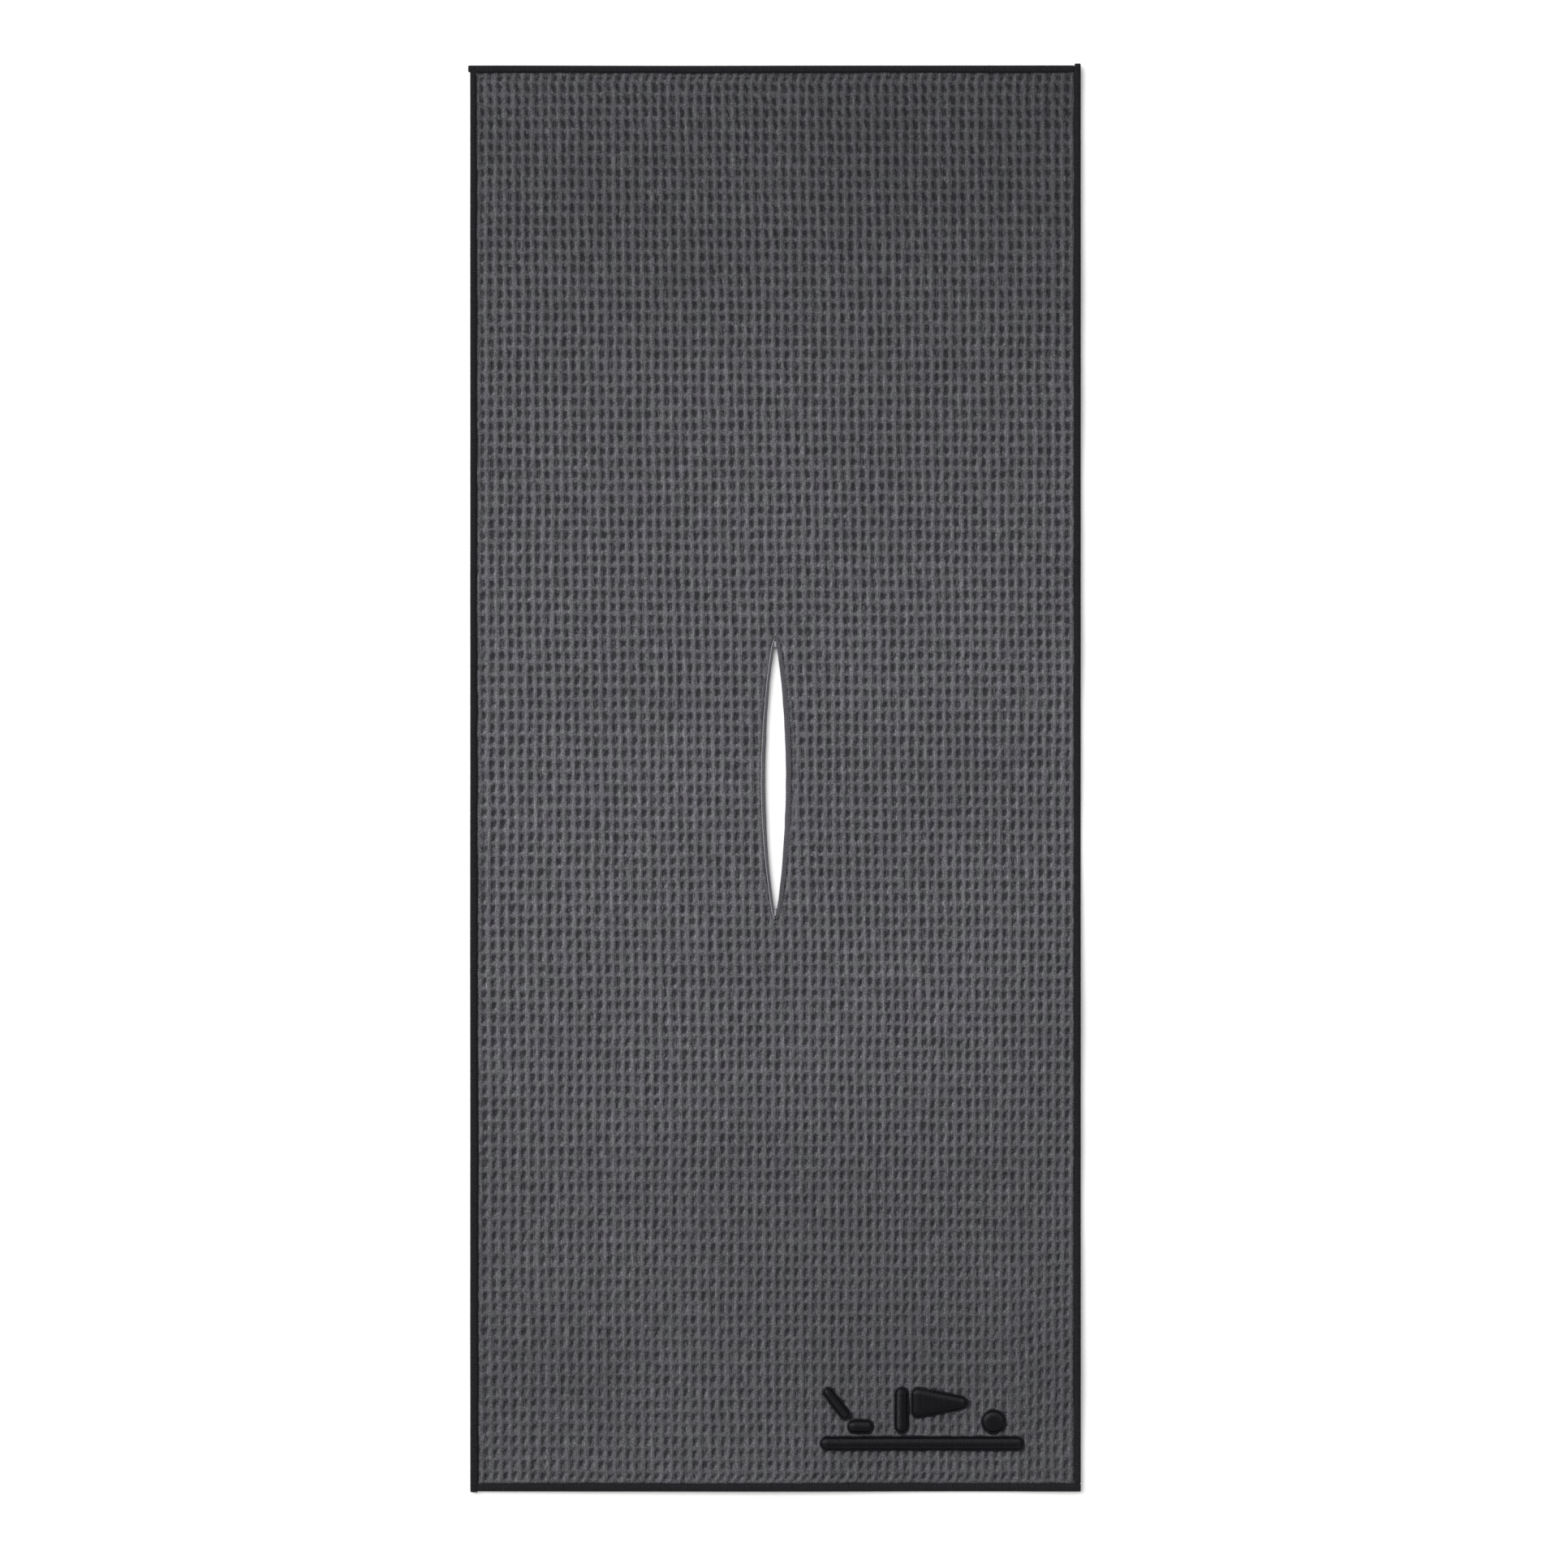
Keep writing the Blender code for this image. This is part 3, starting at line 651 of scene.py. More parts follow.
class GOLFTOWEL_OT_weave_panel(bpy.types.Operator):
    """Weave the towel's cloth, with its waffle pits and its slit"""

    bl_idname = "golf_towel.weave_panel"
    bl_label = "Weave Panel"

    def lines(self, low, high, first, pitch):
        """Grid lines across the cloth, in cells from the first pit, with its two edges."""
        start, end = (low - first) / pitch, (high - first) / pitch
        step = 1 / POINTS_PER_CELL
        inner = np.arange(math.ceil(start / step + 0.4), math.floor(end / step - 0.4) + 1) * step
        return np.concatenate([[start], inner, [end]])

    def relief(self, column, row, ragged, settings):
        """Height of the waffle from 0 in a pit to 1 on a ridge, different in every cell."""
        draws = np.random.default_rng(SEEDS["cells"]).uniform(-1.0, 1.0, (5, 140, 90))
        cell_x, cell_y = np.rint(column).astype(int), np.rint(row).astype(int)
        depth, width, tall, aside, above = draws[:, cell_y + 5, cell_x + 5]
        across = column - cell_x - 0.03 * aside + ragged[0]
        along = row - cell_y - 0.03 * above + ragged[1]
        # A pit's left wall is steep. Its right wall is a slope that leans: out towards the pit's
        # foot near the towel's top, and out towards the pit's head near the towel's foot.
        share = row / (settings.rows - 1)
        lean = np.interp(share, (0.0, 0.25, 0.5, 0.75, 1.0), (0.62, 0.52, 0.32, 0.10, -0.26))
        bow = np.interp(share, (0.0, 0.3, 0.6, 1.0), (0.02, 0.10, 0.20, 0.12))
        bed = 0.03 + 0.03 * width + lean * along + bow * (1.0 - (along / 0.36) ** 2)
        wall = -0.12 + 0.9 * np.minimum(lean, 0.0) * along
        left = smooth((wall - across) / 0.22)
        right = smooth((across - bed) / 0.34)
        ridge = np.maximum(left, right)
        tilt = np.interp(share, (0.0, 0.5, 1.0), (0.26, 0.10, -0.22))
        level = along - tilt * across
        crossing = smooth((np.abs(level) - 0.22 - 0.03 * tall) / 0.24) * 0.84
        # The crown lifts the ridge beside each pit's steep wall; through the pile it also paints a
        # highlight there.
        crown = 0.22 * smooth((np.abs(across + 0.03) - 0.22) / 0.28)
        filled = 1.0 - (1.0 - ridge) * (1.0 - crossing) * (0.92 + 0.08 * depth)
        return 0.80 * filled + crown

    def execute(self, context):
        settings = context.scene.golf_towel_cloth
        first = PANEL_LOW[:2] + FIRST_PIT - TAPE_FOLD
        last = PANEL_HIGH[:2] - LAST_PIT + TAPE_FOLD
        pitch = (last - first) / (settings.columns - 1, settings.rows - 1)
        column, row = np.meshgrid(
            self.lines(PANEL_LOW[0], PANEL_HIGH[0], first[0], pitch[0]),
            self.lines(PANEL_LOW[1], PANEL_HIGH[1], first[1], pitch[1]),
        )
        x, y = first[0] + column * pitch[0], first[1] + row * pitch[1]

        # The weave wanders, and is drawn up beside the embroidery by its stitches.
        free = smooth(np.minimum(x - PANEL_LOW[0], PANEL_HIGH[0] - x) / HELD_WEAVE)
        free *= smooth(np.minimum(y - PANEL_LOW[1], PANEL_HIGH[1] - y) / HELD_WEAVE)
        seed = SEEDS["drift"]
        x = x + free * (0.0005 * drift(x, y, 0.045, seed) + 0.00022 * drift(x, y, 0.011, seed + 1))
        y = y + free * (0.0006 * drift(x, y, 0.060, seed + 2) + 0.00025 * drift(x, y, 0.010, seed + 3))
        # Its columns are wider on the left near the foot, and on the right near the top.
        share = row / (settings.rows - 1)
        spread = np.interp(share, (0.0, 0.35, 0.7, 1.0), (0.05, 0.045, 0.0, -0.03))
        half = (PANEL_HIGH[0] - PANEL_LOW[0]) / 2
        x = x + free * spread * half / 2 * (1.0 - (x / half) ** 2)
        pulled = smooth((x - 0.158) / 0.062) * smooth((y + 0.508) / 0.07) * smooth((-0.30 - y) / 0.13)
        y = y + 0.0095 * pulled

        ragged = [0.08 * drift(x, y, 0.0024, SEEDS["fuzz"] + 5 + axis) for axis in (0, 1)]
        # Above the foot its cells lie a little further out, most of all on the left.
        outward = np.interp(share, (0.0, 0.5, 1.0), (0.0003, 0.0020, 0.0024)) * (x / half - 0.3)
        height = self.relief(column - outward / pitch[0], row, ragged, settings)
        seam = inside_bindings(x, y)
        slit = outside_slit(x, y)
        motif = outside_motif(x, y)
        beside = np.minimum(seam, slit) - 0.0004 + 0.0004 * drift(x, y, 0.0034, SEEDS["fuzz"] + 3)
        rounded = 0.8 * np.exp(-(((beside - 0.0019) / 0.0010) ** 2))
        height = np.maximum(height, rounded)
        released = smooth(beside / SEAM_RELEASE)
        eased = smooth((motif + 0.0004) / MOTIF_RELEASE)
        fuzz = 0.00005 * drift(x, y, 0.0016, SEEDS["fuzz"])
        middle = CLOTH_HEIGHT + released * settings.relief * (height - 0.5) + fuzz * released
        middle = MOTIF_PRESSED_HEIGHT + (middle - MOTIF_PRESSED_HEIGHT) * eased
        low, high = (np.array(corner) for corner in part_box("embroidery_backing"))
        over = np.minimum.reduce([x - low[0], high[0] - x, y - low[1], high[1] - y])
        backed = smooth((over + 0.003) / 0.003)
        middle = np.maximum(middle, BACKED_HEIGHT * backed + middle * (1 - backed))

        # The slit: points nearest its edge move onto it, and those inside it are left out.
        hem = slit_edge(y) + SLIT_CUT_BACK
        offset = x - MIDDLE[0]
        within = np.abs(y - MIDDLE[1]) < HALF_SLIT
        on_edge = np.zeros(x.shape, bool)
        for sign in (-1, 1):
            nearest = np.abs(offset - sign * hem).argmin(axis=1)
            on_edge[np.arange(len(x)), nearest] = True
        on_edge &= within
        x = np.where(on_edge, MIDDLE[0] + np.sign(offset) * hem, x)
        kept = ~within | on_edge | (np.abs(offset) > hem)

        points = np.stack([x, y, middle + lie(x, y)], axis=-1).reshape(-1, 3)
        corners = grid_faces(*x.shape)
        keeps = kept.ravel()[corners]
        whole = corners[keeps.all(axis=1)]
        partial = keeps.sum(axis=1) == 3
        cut = corners[partial][keeps[partial]].reshape(-1, 3)
        faces = np.concatenate([whole.ravel(), cut.ravel()])
        used, faces = np.unique(faces, return_inverse=True)
        quads = faces[: whole.size].reshape(-1, 4).tolist()
        triangles = faces[whole.size :].reshape(-1, 3).tolist()
        panel = new_piece(
            "waffle_cloth",
            points[used],
            quads + triangles,
            waffle_microfibre(settings),
            "waffle_panel",
        )
        along = (y - PANEL_LOW[1]) / (PANEL_HIGH[1] - PANEL_LOW[1])
        # A seam presses the pile down. Beside it, and round the embroidery, the pile is painted in
        # shade; beside the slit's facings that painted shade is lightest.
        shade = 0.30 + 0.24 * smooth(1.0 - slit / 0.004)
        pile = height * (shade + (1.0 - shade) * released) * (0.50 + 0.50 * eased)
        pile = pile + 0.06 * drift(x, y, 0.0045, SEEDS["fuzz"] + 1)
        # Towards the foot the pits' painted shade is lighter.
        pile = pile + 0.10 * (1.0 - height) * smooth((0.35 - along) / 0.25)
        # Painted shade: the cloth is painted darker towards the top, the foot and the right, where
        # less light falls, with a random wander of its own tone over that.
        painted_shade_and_tone = 0.93 - 0.34 * smooth((along - 0.60) / 0.40) - 0.25 * smooth((0.42 - along) / 0.35)
        painted_shade_and_tone = painted_shade_and_tone - 0.08 * smooth((x + 0.10) / 0.30)
        painted_shade_and_tone = painted_shade_and_tone + 0.05 * drift(x, y, 0.07, SEEDS["fuzz"] + 2)
        # Painted shade: the pile beside the tape is painted darker, where the seam's stitches hide the
        # light from it.
        painted_shade_and_tone = painted_shade_and_tone * (0.50 + 0.50 * smooth((seam + 0.0004) / 0.0010))
        # The pile attribute holds the pile's height together with painted shade in the pits, beside
        # the seams and round the embroidery.
        write_on(panel, "pile", pile.ravel()[used])
        write_on(panel, "painted_shade_and_tone", painted_shade_and_tone.ravel()[used])
        thicken(panel, settings.thickness, 0.0)
        return {"FINISHED"}


class GOLFTOWEL_OT_fold_bindings(bpy.types.Operator):
    """Fold the black tape round the four edges"""

    bl_idname = "golf_towel.fold_bindings"
    bl_label = "Fold Bindings"

    # Share of the width from the fold, and height in millimetres, round the folded tape
    OUTSIDE = (
        (1.00, 1.92), (0.96, 2.12), (0.86, 2.27), (0.66, 2.40), (0.53, 2.28), (0.40, 2.42),
        (0.20, 2.22), (0.08, 1.86), (0.00, 1.20), (0.08, 0.54), (0.20, 0.18), (0.34, 0.03),
        (0.50, 0.00), (0.70, 0.00), (0.86, 0.05), (0.96, 0.18), (1.00, 0.42),
    )  # fmt: skip
    INSIDE = (
        (0.96, 0.56), (0.40, 0.45), (0.19, 0.72), (0.09, 1.20), (0.19, 1.68), (0.40, 1.95),
        (0.96, 1.74),
    )  # fmt: skip
    TUCK = 0.0030

    def rings(self, side, settings):
        """The tape's rings of points, and how far each lies along and round it."""
        step = settings.stitch / 4
        total = side["length"] + self.TUCK
        stations = np.concatenate([[0.0, 0.0001, 0.0003], np.arange(step, total, step), [total]])
        width = tape_width(side, stations)
        stitched = 0.5 + 0.5 * np.cos(2 * np.pi * stations / settings.stitch)
        profile = np.array(self.OUTSIDE + self.INSIDE)
        share, height = profile[:, 0][None, :], profile[:, 1][None, :] * 0.001
        # Each stitch draws the tape's edge down and in a little.
        near_seam = smooth((share - 0.62) / 0.34)
        above = height > CLOTH_HEIGHT
        pulled = stitched[:, None] * near_seam * 0.00014
        height = height - np.where(above, pulled, -pulled * 0.6)
        inward = share * width[:, None] - 0.00008 * stitched[:, None] * near_seam
        puckered = waver(stations - 0.5, 0.0052, side["seed"] + 2)[:, None]
        height = height + np.where(above & (share < 0.9), 0.00006 * puckered, 0.0)
        # The start is turned in and rounded, and the end is pressed thin under the next tape.
        rounding = np.sqrt(np.clip(stations / 0.0006, 0.12, 1.0))[:, None]
        pressed = smooth((stations - side["length"] - 0.0002) / 0.0008)[:, None]
        thin = rounding * (1 - 0.46 * pressed)
        height = CLOTH_HEIGHT + (height - CLOTH_HEIGHT) * thin
        inset = 0.0005 * (1 - rounding) + 0.0006 * pressed
        inward = inset + inward * (1 - 2 * inset / width[:, None])
        points = side["corner"] + stations[:, None, None] * side["along"]
        points = points - inward[..., None] * side["off"]
        points[..., 2] = height + lie(points[..., 0], points[..., 1])
        return points, (stations[:, None], np.linspace(0.0, 0.014, len(profile))[None, :])

    def execute(self, context):
        settings = context.scene.golf_towel_binding
        # Woven polyester tape, folded and pressed: near black, with fine ribs across it and a
        # soft sheen along the fold.
        tape = ribbed_cloth(
            "woven_polyester_tape",
            settings.tape,
            rib=0.0012,
            specular=0.09,
            sheen=0.02,
            contrast=0.80,
            uneven=9.0,
        )
        for side in binding_sides():
            name = side["name"]
            rings, run = self.rings(side, settings)
            faces = tube_faces(*rings.shape[:2])
            new_piece(name + "_tape", rings, faces, tape, name + "_binding", run)
        return {"FINISHED"}


class GOLFTOWEL_OT_sew_bindings(bpy.types.Operator):
    """Sew each binding down with a needle thread on the face and a bobbin thread on the back"""

    bl_idname = "golf_towel.sew_bindings"
    bl_label = "Sew Bindings"

    def execute(self, context):
        settings = context.scene.golf_towel_binding
        # Corespun polyester sewing thread, twisted and dyed black: it has a faint gloss.
        thread = ribbed_cloth(
            "corespun_polyester_thread",
            settings.seam,
            rib=0.0006,
            specular=0.25,
            sheen=0.0,
            contrast=0.3,
            twisted=True,
        )
        for index, side in enumerate(binding_sides()):
            low, high = (np.array(c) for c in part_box(side["name"] + "_seam_needle_thread"))
            ends = [(corner - side["corner"]) @ side["along"] for corner in (low, high)]
            stations = np.arange(min(ends), max(ends), 0.002)
            inward = tape_width(side, stations) + settings.thread * 0.6
            route = side["corner"] + stations[:, None] * side["along"]
            route = route - inward[:, None] * side["off"]
            for word, on_back in (("needle", False), ("bobbin", True)):
                seed = SEEDS["thread"] + 2 * index + on_back
                rings = lock_stitches(
                    route, settings.stitch, settings.thread / 2, seed, on_back, height=0.00200
                )
                new_thread(f"{side['name']}_seam_{word}_thread", rings, thread)
        return {"FINISHED"}


class GOLFTOWEL_OT_face_slit(bpy.types.Operator):
    """Fold a strip of cloth round each long edge of the slit"""

    bl_idname = "golf_towel.face_slit"
    bl_label = "Face Slit"

    # Share of the width from the opening, and height in millimetres, round the folded strip
    OUTSIDE = (
        (1.00, 1.85), (0.95, 2.08), (0.82, 2.25), (0.64, 2.30), (0.46, 2.34), (0.30, 2.44),
        (0.15, 2.36), (0.04, 1.95), (0.00, 1.20), (0.04, 0.48), (0.15, 0.12), (0.30, 0.00),
        (0.60, 0.02), (0.85, 0.10), (1.00, 0.40),
    )  # fmt: skip
    INSIDE = (
        (0.95, 0.60), (0.45, 0.50), (0.20, 0.78), (0.13, 1.20), (0.20, 1.66), (0.45, 1.88),
        (0.95, 1.66),
    )  # fmt: skip

    def execute(self, context):
        settings = context.scene.golf_towel_slit
        # A strip of the towel's own yarn, woven flat, folded and pressed: grey and matt.
        cloth = ribbed_cloth(
            "flat_woven_facing_strip",
            settings.facing,
            rib=0.0011,
            specular=0.12,
            sheen=0.10,
            contrast=0.50,
        )
        end = TACK_HIGH[1] - MIDDLE[1] - 0.0004
        profile = np.array(self.OUTSIDE + self.INSIDE)
        share, high = profile[:, 0][None, :], profile[:, 1][None, :] * 0.001
        for side, sign in (("left", -1), ("right", 1)):
            # It runs down on the left and up on the right, so that the slit is on its left.
            y = MIDDLE[1] + sign * np.arange(-end, end, 0.0006)
            seed = SEEDS["tape"] + 50 + 3 * sign
            edge = slit_edge(y) - 0.00012 + 0.00012 * waver(y, 0.008, seed)
            reach = slit_reach(y, sign) + 0.00012 * waver(y, 0.0042, seed + 1)
            edge = np.minimum(edge, reach - 0.0005)
            out = edge[:, None] + share * (reach - edge)[:, None]
            puckered = 0.00006 * waver(y, 0.0035, seed + 2)[:, None]
            height = high + puckered * (high > CLOTH_HEIGHT)
            closing = np.clip((end - np.abs(y - MIDDLE[1])) / 0.004, 0.25, 1.0)[:, None] ** 0.5
            height = CLOTH_HEIGHT + (height - CLOTH_HEIGHT) * closing
            x = MIDDLE[0] + sign * out
            along = np.broadcast_to(y[:, None], x.shape)
            points = np.stack([x, along, height + lie(x, along)], axis=-1)
            new_piece(
                side + "_slit_strip",
                points,
                tube_faces(*points.shape[:2]),
                cloth,
                side + "_slit_facing",
                (along, np.linspace(0.0, 0.009, len(profile))[None, :]),
            )
        return {"FINISHED"}


class GOLFTOWEL_OT_sew_slit(bpy.types.Operator):
    """Sew each slit facing down, with light thread on the face and black thread on the back"""

    bl_idname = "golf_towel.sew_slit"
    bl_label = "Sew Slit"

    def execute(self, context):
        settings = context.scene.golf_towel_slit
        black = context.scene.golf_towel_binding.seam
        # Spun polyester sewing thread, undyed grey: lighter than the cloth, and matt.
        light = ribbed_cloth(
            "spun_polyester_thread",
            settings.seam,
            rib=0.0008,
            specular=0.3,
            sheen=0.1,
            contrast=0.25,
            twisted=True,
        )
        # The same thread on the right is sunk in the pile, whose fibres veil it.
        veiled = ribbed_cloth(
            "veiled_polyester_thread",
            settings.veiled,
            rib=0.0008,
            specular=0.1,
            sheen=0.1,
            contrast=0.35,
            twisted=True,
        )
        # The bobbin thread is black, smooth and a little glossy.
        dark = ribbed_cloth(
            "black_bobbin_thread",
            black,
            rib=0.0006,
            specular=0.5,
            sheen=0.0,
            contrast=0.3,
            twisted=True,
        )
        end = TACK_HIGH[1] - MIDDLE[1]
        y = MIDDLE[1] + np.arange(-end, end, 0.0005)
        for side, sign in (("left", -1), ("right", 1)):
            wander = 0.00014 * waver(y, 0.006, SEEDS["thread"] + 20 + sign)
            x = MIDDLE[0] + sign * (slit_reach(y, sign) + settings.thread * 0.35 + wander)
            route = np.stack([x, y], axis=1)
            for word, material, slot in (
                ("needle", light if sign < 0 else veiled, "slit_thread"),
                ("bobbin", dark, "seam_thread"),
            ):
                seed = SEEDS["thread"] + 30 + sign
                on_back = word == "bobbin"
                height = 0.00215 if sign < 0 or on_back else 0.00190
                rings = lock_stitches(
                    route, settings.stitch, settings.thread / 2, seed, on_back, height, dive=0.0003
                )
                new_thread(f"{side}_slit_seam_{word}_thread", rings, material)
        return {"FINISHED"}


class GOLFTOWEL_OT_tack_slit(bpy.types.Operator):
    """Lock both ends of the slit with a bar tack of zigzag thread"""

    bl_idname = "golf_towel.tack_slit"
    bl_label = "Tack Slit"

    def execute(self, context):
        settings = context.scene.golf_towel_slit
        # The slit's light thread, packed in a zigzag: a small pale ridge.
        thread = ribbed_cloth(
            "bar_tack_thread",
            settings.seam,
            rib=0.0008,
            specular=0.3,
            sheen=0.1,
            contrast=0.25,
            twisted=True,
        )
        half = HALF_SLIT
        for end, sign in (("top", 1), ("bottom", -1)):
            rng = np.random.default_rng(SEEDS["thread"] + 40 + sign)
            count, pitch = 15, 0.00027
            turns = np.arange(count)
            y = half - 0.0002 + turns * pitch
            reach = np.minimum(0.0009, slit_reach(MIDDLE[1] + y, -1) * 0.9)
            reach = reach * rng.uniform(0.75, 1.1, count)
            side = np.where(turns % 2 == 0, 1.0, -1.0)
            share = np.array((0.0, 0.25, 0.5, 0.75))
            lift = np.array((-0.0006, -0.0001, 0.0001, -0.0001))
            start, after = side * reach, np.roll(side * reach, -1)
            x = (start[:, None] * (1 - share) + after[:, None] * share)[:-1].ravel()
            rise = (y[:, None] + share * pitch)[:-1].ravel()
            x, rise = x + MIDDLE[0], MIDDLE[1] + sign * rise
            z = 0.00255 + np.tile(lift, count - 1) + lie(x, rise)
            rings = round_strand(np.stack([x, rise, z], axis=1), settings.thread / 2)
            new_thread(end + "_bar_tack", rings, thread)
        return {"FINISHED"}


class GOLFTOWEL_OT_stitch_motif(bpy.types.Operator):
    """Stitch the golf motif in satin stitch over its foam"""

    bl_idname = "golf_towel.stitch_motif"
    bl_label = "Stitch Motif"

    def profile(self, inside, top):
        """Height at a distance inside a shape's outline: a corded rim, a groove, and the puff."""
        rim = 0.0010 * np.sqrt(np.clip(1.0 - ((inside - 0.00045) / 0.00050) ** 2, 0.0, 1.0))
        swell = top * np.sqrt(1.0 - (1.0 - np.clip((inside - 0.00100) / 0.0041, 0.0, 1.0)) ** 2)
        return np.maximum(rim, np.maximum(swell, 0.0004 * smooth(inside / 0.0002)))

    def laid(self, spine, radius, spacing, inset):
        """Lines across one shape, one beside the other along it: their middles, the way they run,
        how far along they are, and how far they reach to either side."""
        start, end = spine[0], spine[1]
        if len(spine) == 3:
            start, end = (spine[0] + spine[2]) / 2, spine[1]
        run = np.linalg.norm(end - start)
        along = (end - start) / run
        across = np.array((-along[1], along[0]))
        radius = radius - inset
        stations = np.arange(-radius + spacing / 8, run + radius, spacing)
        centres = start + stations[:, None] * along
        reaches = []
        for sign in (-1, 1):
            near, far = np.zeros(len(stations)), np.full(len(stations), 0.03)
            for _ in range(24):
                middle = (near + far) / 2
                outside = outside_shape(centres + sign * middle[:, None] * across, spine, radius) > 0
                near, far = np.where(outside, near, middle), np.where(outside, middle, far)
            reaches.append(sign * near)
        return centres, across, stations, reaches

    def surface(self, shape, spacing, inset):
        """The points, the stations along the shape and the distances inside its outline."""
        spine, radius = shape
        centres, across, stations, (low, high) = self.laid(spine, radius, spacing, inset)
        share = 0.5 + 0.5 * np.sin(np.linspace(-np.pi / 2, np.pi / 2, 33))
        offset = low[:, None] + (high - low)[:, None] * share
        ground = centres[:, None] + offset[..., None] * across
        inside = -outside_shape(ground, spine, radius - inset)
        return ground, stations, np.maximum(inside, 0.0)

    def execute(self, context):
        settings = context.scene.golf_towel_motif
        # Trilobal rayon thread laid in satin stitch: near black, with a silky light across it.
        satin = ribbed_cloth(
            "rayon_satin_stitch",
            settings.satin,
            rib=0.00045,
            specular=0.17,
            sheen=0.0,
            contrast=0.40,
            roughness=0.30,
        )
        # Closed-cell foam sheet, cut by the needle: dull, with pores.
        foam = ribbed_cloth(
            "closed_cell_foam", settings.foam, rib=0.0012, specular=0.2, sheen=0.0, contrast=0.3
        )
        for index, (name, shape) in enumerate(motif_shapes().items()):
            rng = np.random.default_rng(SEEDS["satin"] + index)
            ground, stations, inside = self.surface(shape, settings.thread / 4, 0.0)
            lay = np.floor(stations / settings.thread).astype(int)
            uneven = rng.uniform(-1.0, 1.0, (lay.max() - lay.min() + 1, 3))[lay - lay.min()]
            crown = np.abs(np.sin(np.pi * stations / settings.thread))
            height = self.profile(inside, settings.puff) + 0.00007 * crown[:, None]
            height = height + 0.00003 * uneven[:, :1]
            # The ends of the threads don't quite line up.
            edge = smooth(1.0 - inside / 0.0006)
            away = ground - ground.mean(axis=1, keepdims=True)
            away /= np.linalg.norm(away, axis=-1, keepdims=True) + 1e-9
            ragged = 0.00015 * uneven[:, 1:2] + 0.00045 * drift(
                ground[..., 0], ground[..., 1], 0.0021, SEEDS["satin"] + 20
            )
            ground = ground + away * (ragged * edge)[..., None]
            x, y = ground[..., 0], ground[..., 1]
            points = np.stack([x, y, 0.0020 + height + lie(x, y)], axis=-1)
            faces = grid_faces(*x.shape).tolist()
            run = (stations[:, None], inside)
            cover = new_piece(
                name + "_satin_stitch", points, faces, satin, name + "_satin", run
            )
            thicken(cover, 0.0004, -1.0)
            self.pad(name, shape, settings, foam)
        return {"FINISHED"}

    def pad(self, name, shape, settings, foam):
        """The foam inside one shape's satin, a little smaller all round."""
        ground, _, inside = self.surface(shape, 0.0012, 0.0011)
        x, y = ground[..., 0], ground[..., 1]
        rounded = np.sin(0.5 * np.pi * np.clip(inside / 0.0022, 0.0, 1.0)) ** 0.8
        swell = (settings.puff - 0.0009) * rounded
        top = np.stack([x, y, 0.00205 + swell + lie(x, y)], axis=-1)
        rows, columns = x.shape
        base = top.copy()
        base[..., 2] = 0.00200 + lie(x, y)
        loop = np.concatenate([top, base[:, ::-1]], axis=1)
        faces = tube_faces(rows, 2 * columns)
        run = (loop[..., 0], loop[..., 1])
        pad = new_piece(name + "_foam_pad", loop, faces, foam, name + "_foam", run)


class GOLFTOWEL_OT_back_motif(bpy.types.Operator):
    """Lay the embroidery's cut-away backing under the cloth"""

    bl_idname = "golf_towel.back_motif"
    bl_label = "Back Motif"

    def execute(self, context):
        settings = context.scene.golf_towel_motif
        # Non-woven polyester felt, cut with scissors: dull, with bobbin thread through it.
        felt = ribbed_cloth(
            "non_woven_cutaway_backing",
            settings.backing,
            rib=0.0011,
            specular=0.15,
            sheen=0.1,
            contrast=0.25,
            twisted=True,
        )
        low, high = (np.array(corner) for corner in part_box("embroidery_backing"))
        x, y = np.meshgrid(np.arange(low[0], high[0], 0.0008), np.arange(low[1], high[1], 0.0008))
        seed = SEEDS["backing"]
        rim = np.minimum.reduce([x - low[0], high[0] - x, y - low[1], high[1] - y])
        ragged = 1.0 - smooth(rim / 0.002)
        wavy_x = x + 0.0004 * ragged * drift(x, y, 0.012, seed)
        wavy_y = y + 0.0004 * ragged * drift(x, y, 0.012, seed + 1)
        stitched = smooth(-outside_motif(x, y) / 0.0008)
        lift = 0.00030 + 0.00006 * drift(x, y, 0.009, seed + 2) - 0.00008 * stitched
        points = np.stack([wavy_x, wavy_y, lift + lie(x, y)], axis=-1)
        faces = grid_faces(*x.shape).tolist()
        backing = new_piece(
            "cutaway_backing", points, faces, felt, "embroidery_backing", (y, x)
        )
        thicken(backing, 0.0003, 0.0)
        return {"FINISHED"}


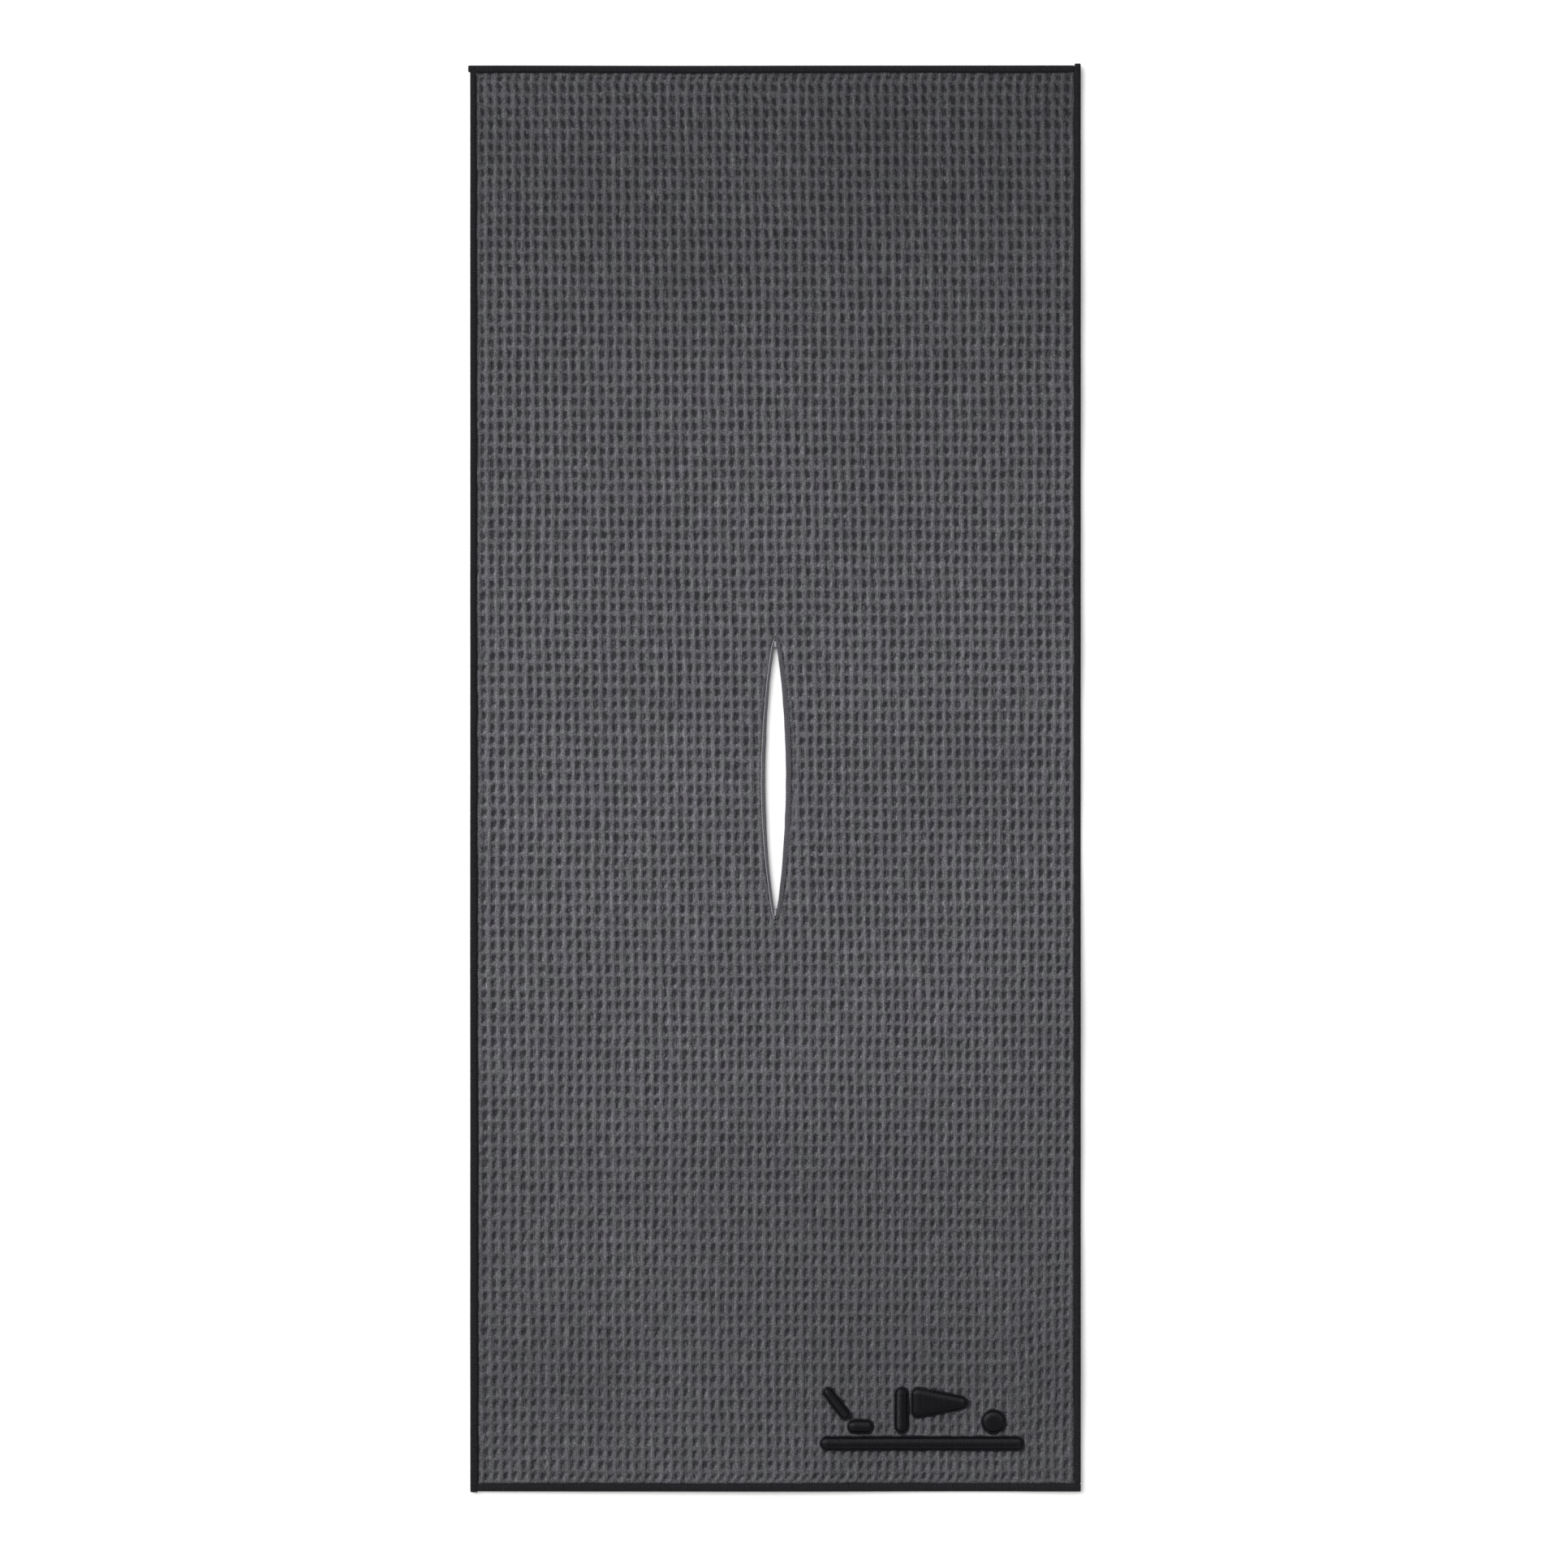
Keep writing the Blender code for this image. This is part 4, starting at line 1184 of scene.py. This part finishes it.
class GOLFTOWEL_OT_light_stage(bpy.types.Operator):
    """Lay the pale floor, set the soft lights and place the camera straight above"""

    bl_idname = "golf_towel.light_stage"
    bl_label = "Light Stage"

    def execute(self, context):
        settings = context.scene.golf_towel_stage
        scene = context.scene
        reach = 12.0
        mesh = bpy.data.meshes.new("floor")
        signs = ((-1, -1), (1, -1), (1, 1), (-1, 1))
        corners = [(reach * across, reach * along, 0.0) for across, along in signs]
        mesh.from_pydata(corners, [], [(0, 1, 2, 3)])
        floor = bpy.data.objects.new("floor", mesh)
        # Matt white studio paper: it shows nothing but the towel's faint shadow.
        paper, _ = new_material("matt_studio_paper", Roughness=0.9, Base_Color=(*settings.floor, 1.0))
        mesh.materials.append(paper)
        scene.collection.objects.link(floor)

        world = bpy.data.worlds.new("studio")
        world.use_nodes = True
        sky = world.node_tree.nodes["Background"]
        sky.inputs["Color"].default_value = (1.0, 1.0, 1.0, 1.0)
        # A big soft box: brighter high on the upper left than high on the lower right.
        place = add_node(world, "ShaderNodeTexCoord", output="Generated")
        slope = add_node(
            world,
            "ShaderNodeVectorMath",
            {0: place, 1: (-settings.box, settings.box, 0.0)},
            output="Value",
            operation="DOT_PRODUCT",
        )
        up = add_node(world, "ShaderNodeSeparateXYZ", {0: place}, output="Z")
        strength = add_node(
            world, "ShaderNodeMath", {0: slope, 1: up, 2: settings.sky}, operation="MULTIPLY_ADD"
        )
        world.node_tree.links.new(strength, sky.inputs["Strength"])
        scene.world = world

        lamp = bpy.data.lights.new("key", "SUN")
        lamp.energy = settings.key
        lamp.angle = math.radians(50)
        key = bpy.data.objects.new("key", lamp)
        key.rotation_euler = (math.radians(-30), math.radians(-48), 0.0)
        scene.collection.objects.link(key)

        data = bpy.data.cameras.new("camera")
        data.lens = settings.lens
        data.sensor_width = 36.0
        data.clip_end = 60.0
        camera = bpy.data.objects.new("camera", data)
        height = settings.view_width * data.lens / data.sensor_width
        camera.location = (MIDDLE[0] + 0.0061, MIDDLE[1] - 0.0039, height)
        scene.collection.objects.link(camera)
        scene.camera = camera
        scene.view_settings.view_transform = "Standard"
        return {"FINISHED"}


class GOLFTOWEL_OT_lay_towel(bpy.types.Operator):
    """A last step that leaves the scene as it is"""

    bl_idname = "golf_towel.lay_towel"
    bl_label = "Lay Towel"

    def execute(self, context):
        return {"FINISHED"}


class GOLFTOWEL_PT_sidebar(bpy.types.Panel):
    """The towel's settings and the steps that make it"""

    bl_idname = "GOLFTOWEL_PT_sidebar"
    bl_label = "Golf Towel"
    bl_space_type = "VIEW_3D"
    bl_region_type = "UI"
    bl_category = "Golf Towel"

    def draw(self, context):
        for name, group in SETTINGS.items():
            box = self.layout.box()
            for setting in group.__annotations__:
                box.prop(getattr(context.scene, name), setting)
        for operator in OPERATORS:
            self.layout.operator(operator.bl_idname)


OPERATORS = (
    GOLFTOWEL_OT_weave_panel,
    GOLFTOWEL_OT_fold_bindings,
    GOLFTOWEL_OT_sew_bindings,
    GOLFTOWEL_OT_face_slit,
    GOLFTOWEL_OT_sew_slit,
    GOLFTOWEL_OT_tack_slit,
    GOLFTOWEL_OT_stitch_motif,
    GOLFTOWEL_OT_back_motif,
    GOLFTOWEL_OT_lay_towel,
    GOLFTOWEL_OT_light_stage,
)


def register():
    for item in (*SETTINGS.values(), *OPERATORS, GOLFTOWEL_PT_sidebar):
        bpy.utils.register_class(item)
    for name, group in SETTINGS.items():
        setattr(bpy.types.Scene, name, bpy.props.PointerProperty(type=group))


def unregister():
    for name in SETTINGS:
        delattr(bpy.types.Scene, name)
    for item in reversed((*SETTINGS.values(), *OPERATORS, GOLFTOWEL_PT_sidebar)):
        bpy.utils.unregister_class(item)


def main():
    register()
    bpy.ops.golf_towel.weave_panel()
    bpy.ops.golf_towel.fold_bindings()
    bpy.ops.golf_towel.sew_bindings()
    bpy.ops.golf_towel.face_slit()
    bpy.ops.golf_towel.sew_slit()
    bpy.ops.golf_towel.tack_slit()
    bpy.ops.golf_towel.stitch_motif()
    bpy.ops.golf_towel.back_motif()
    bpy.ops.golf_towel.lay_towel()
    bpy.ops.golf_towel.light_stage()


if __name__ == "__main__":
    main()
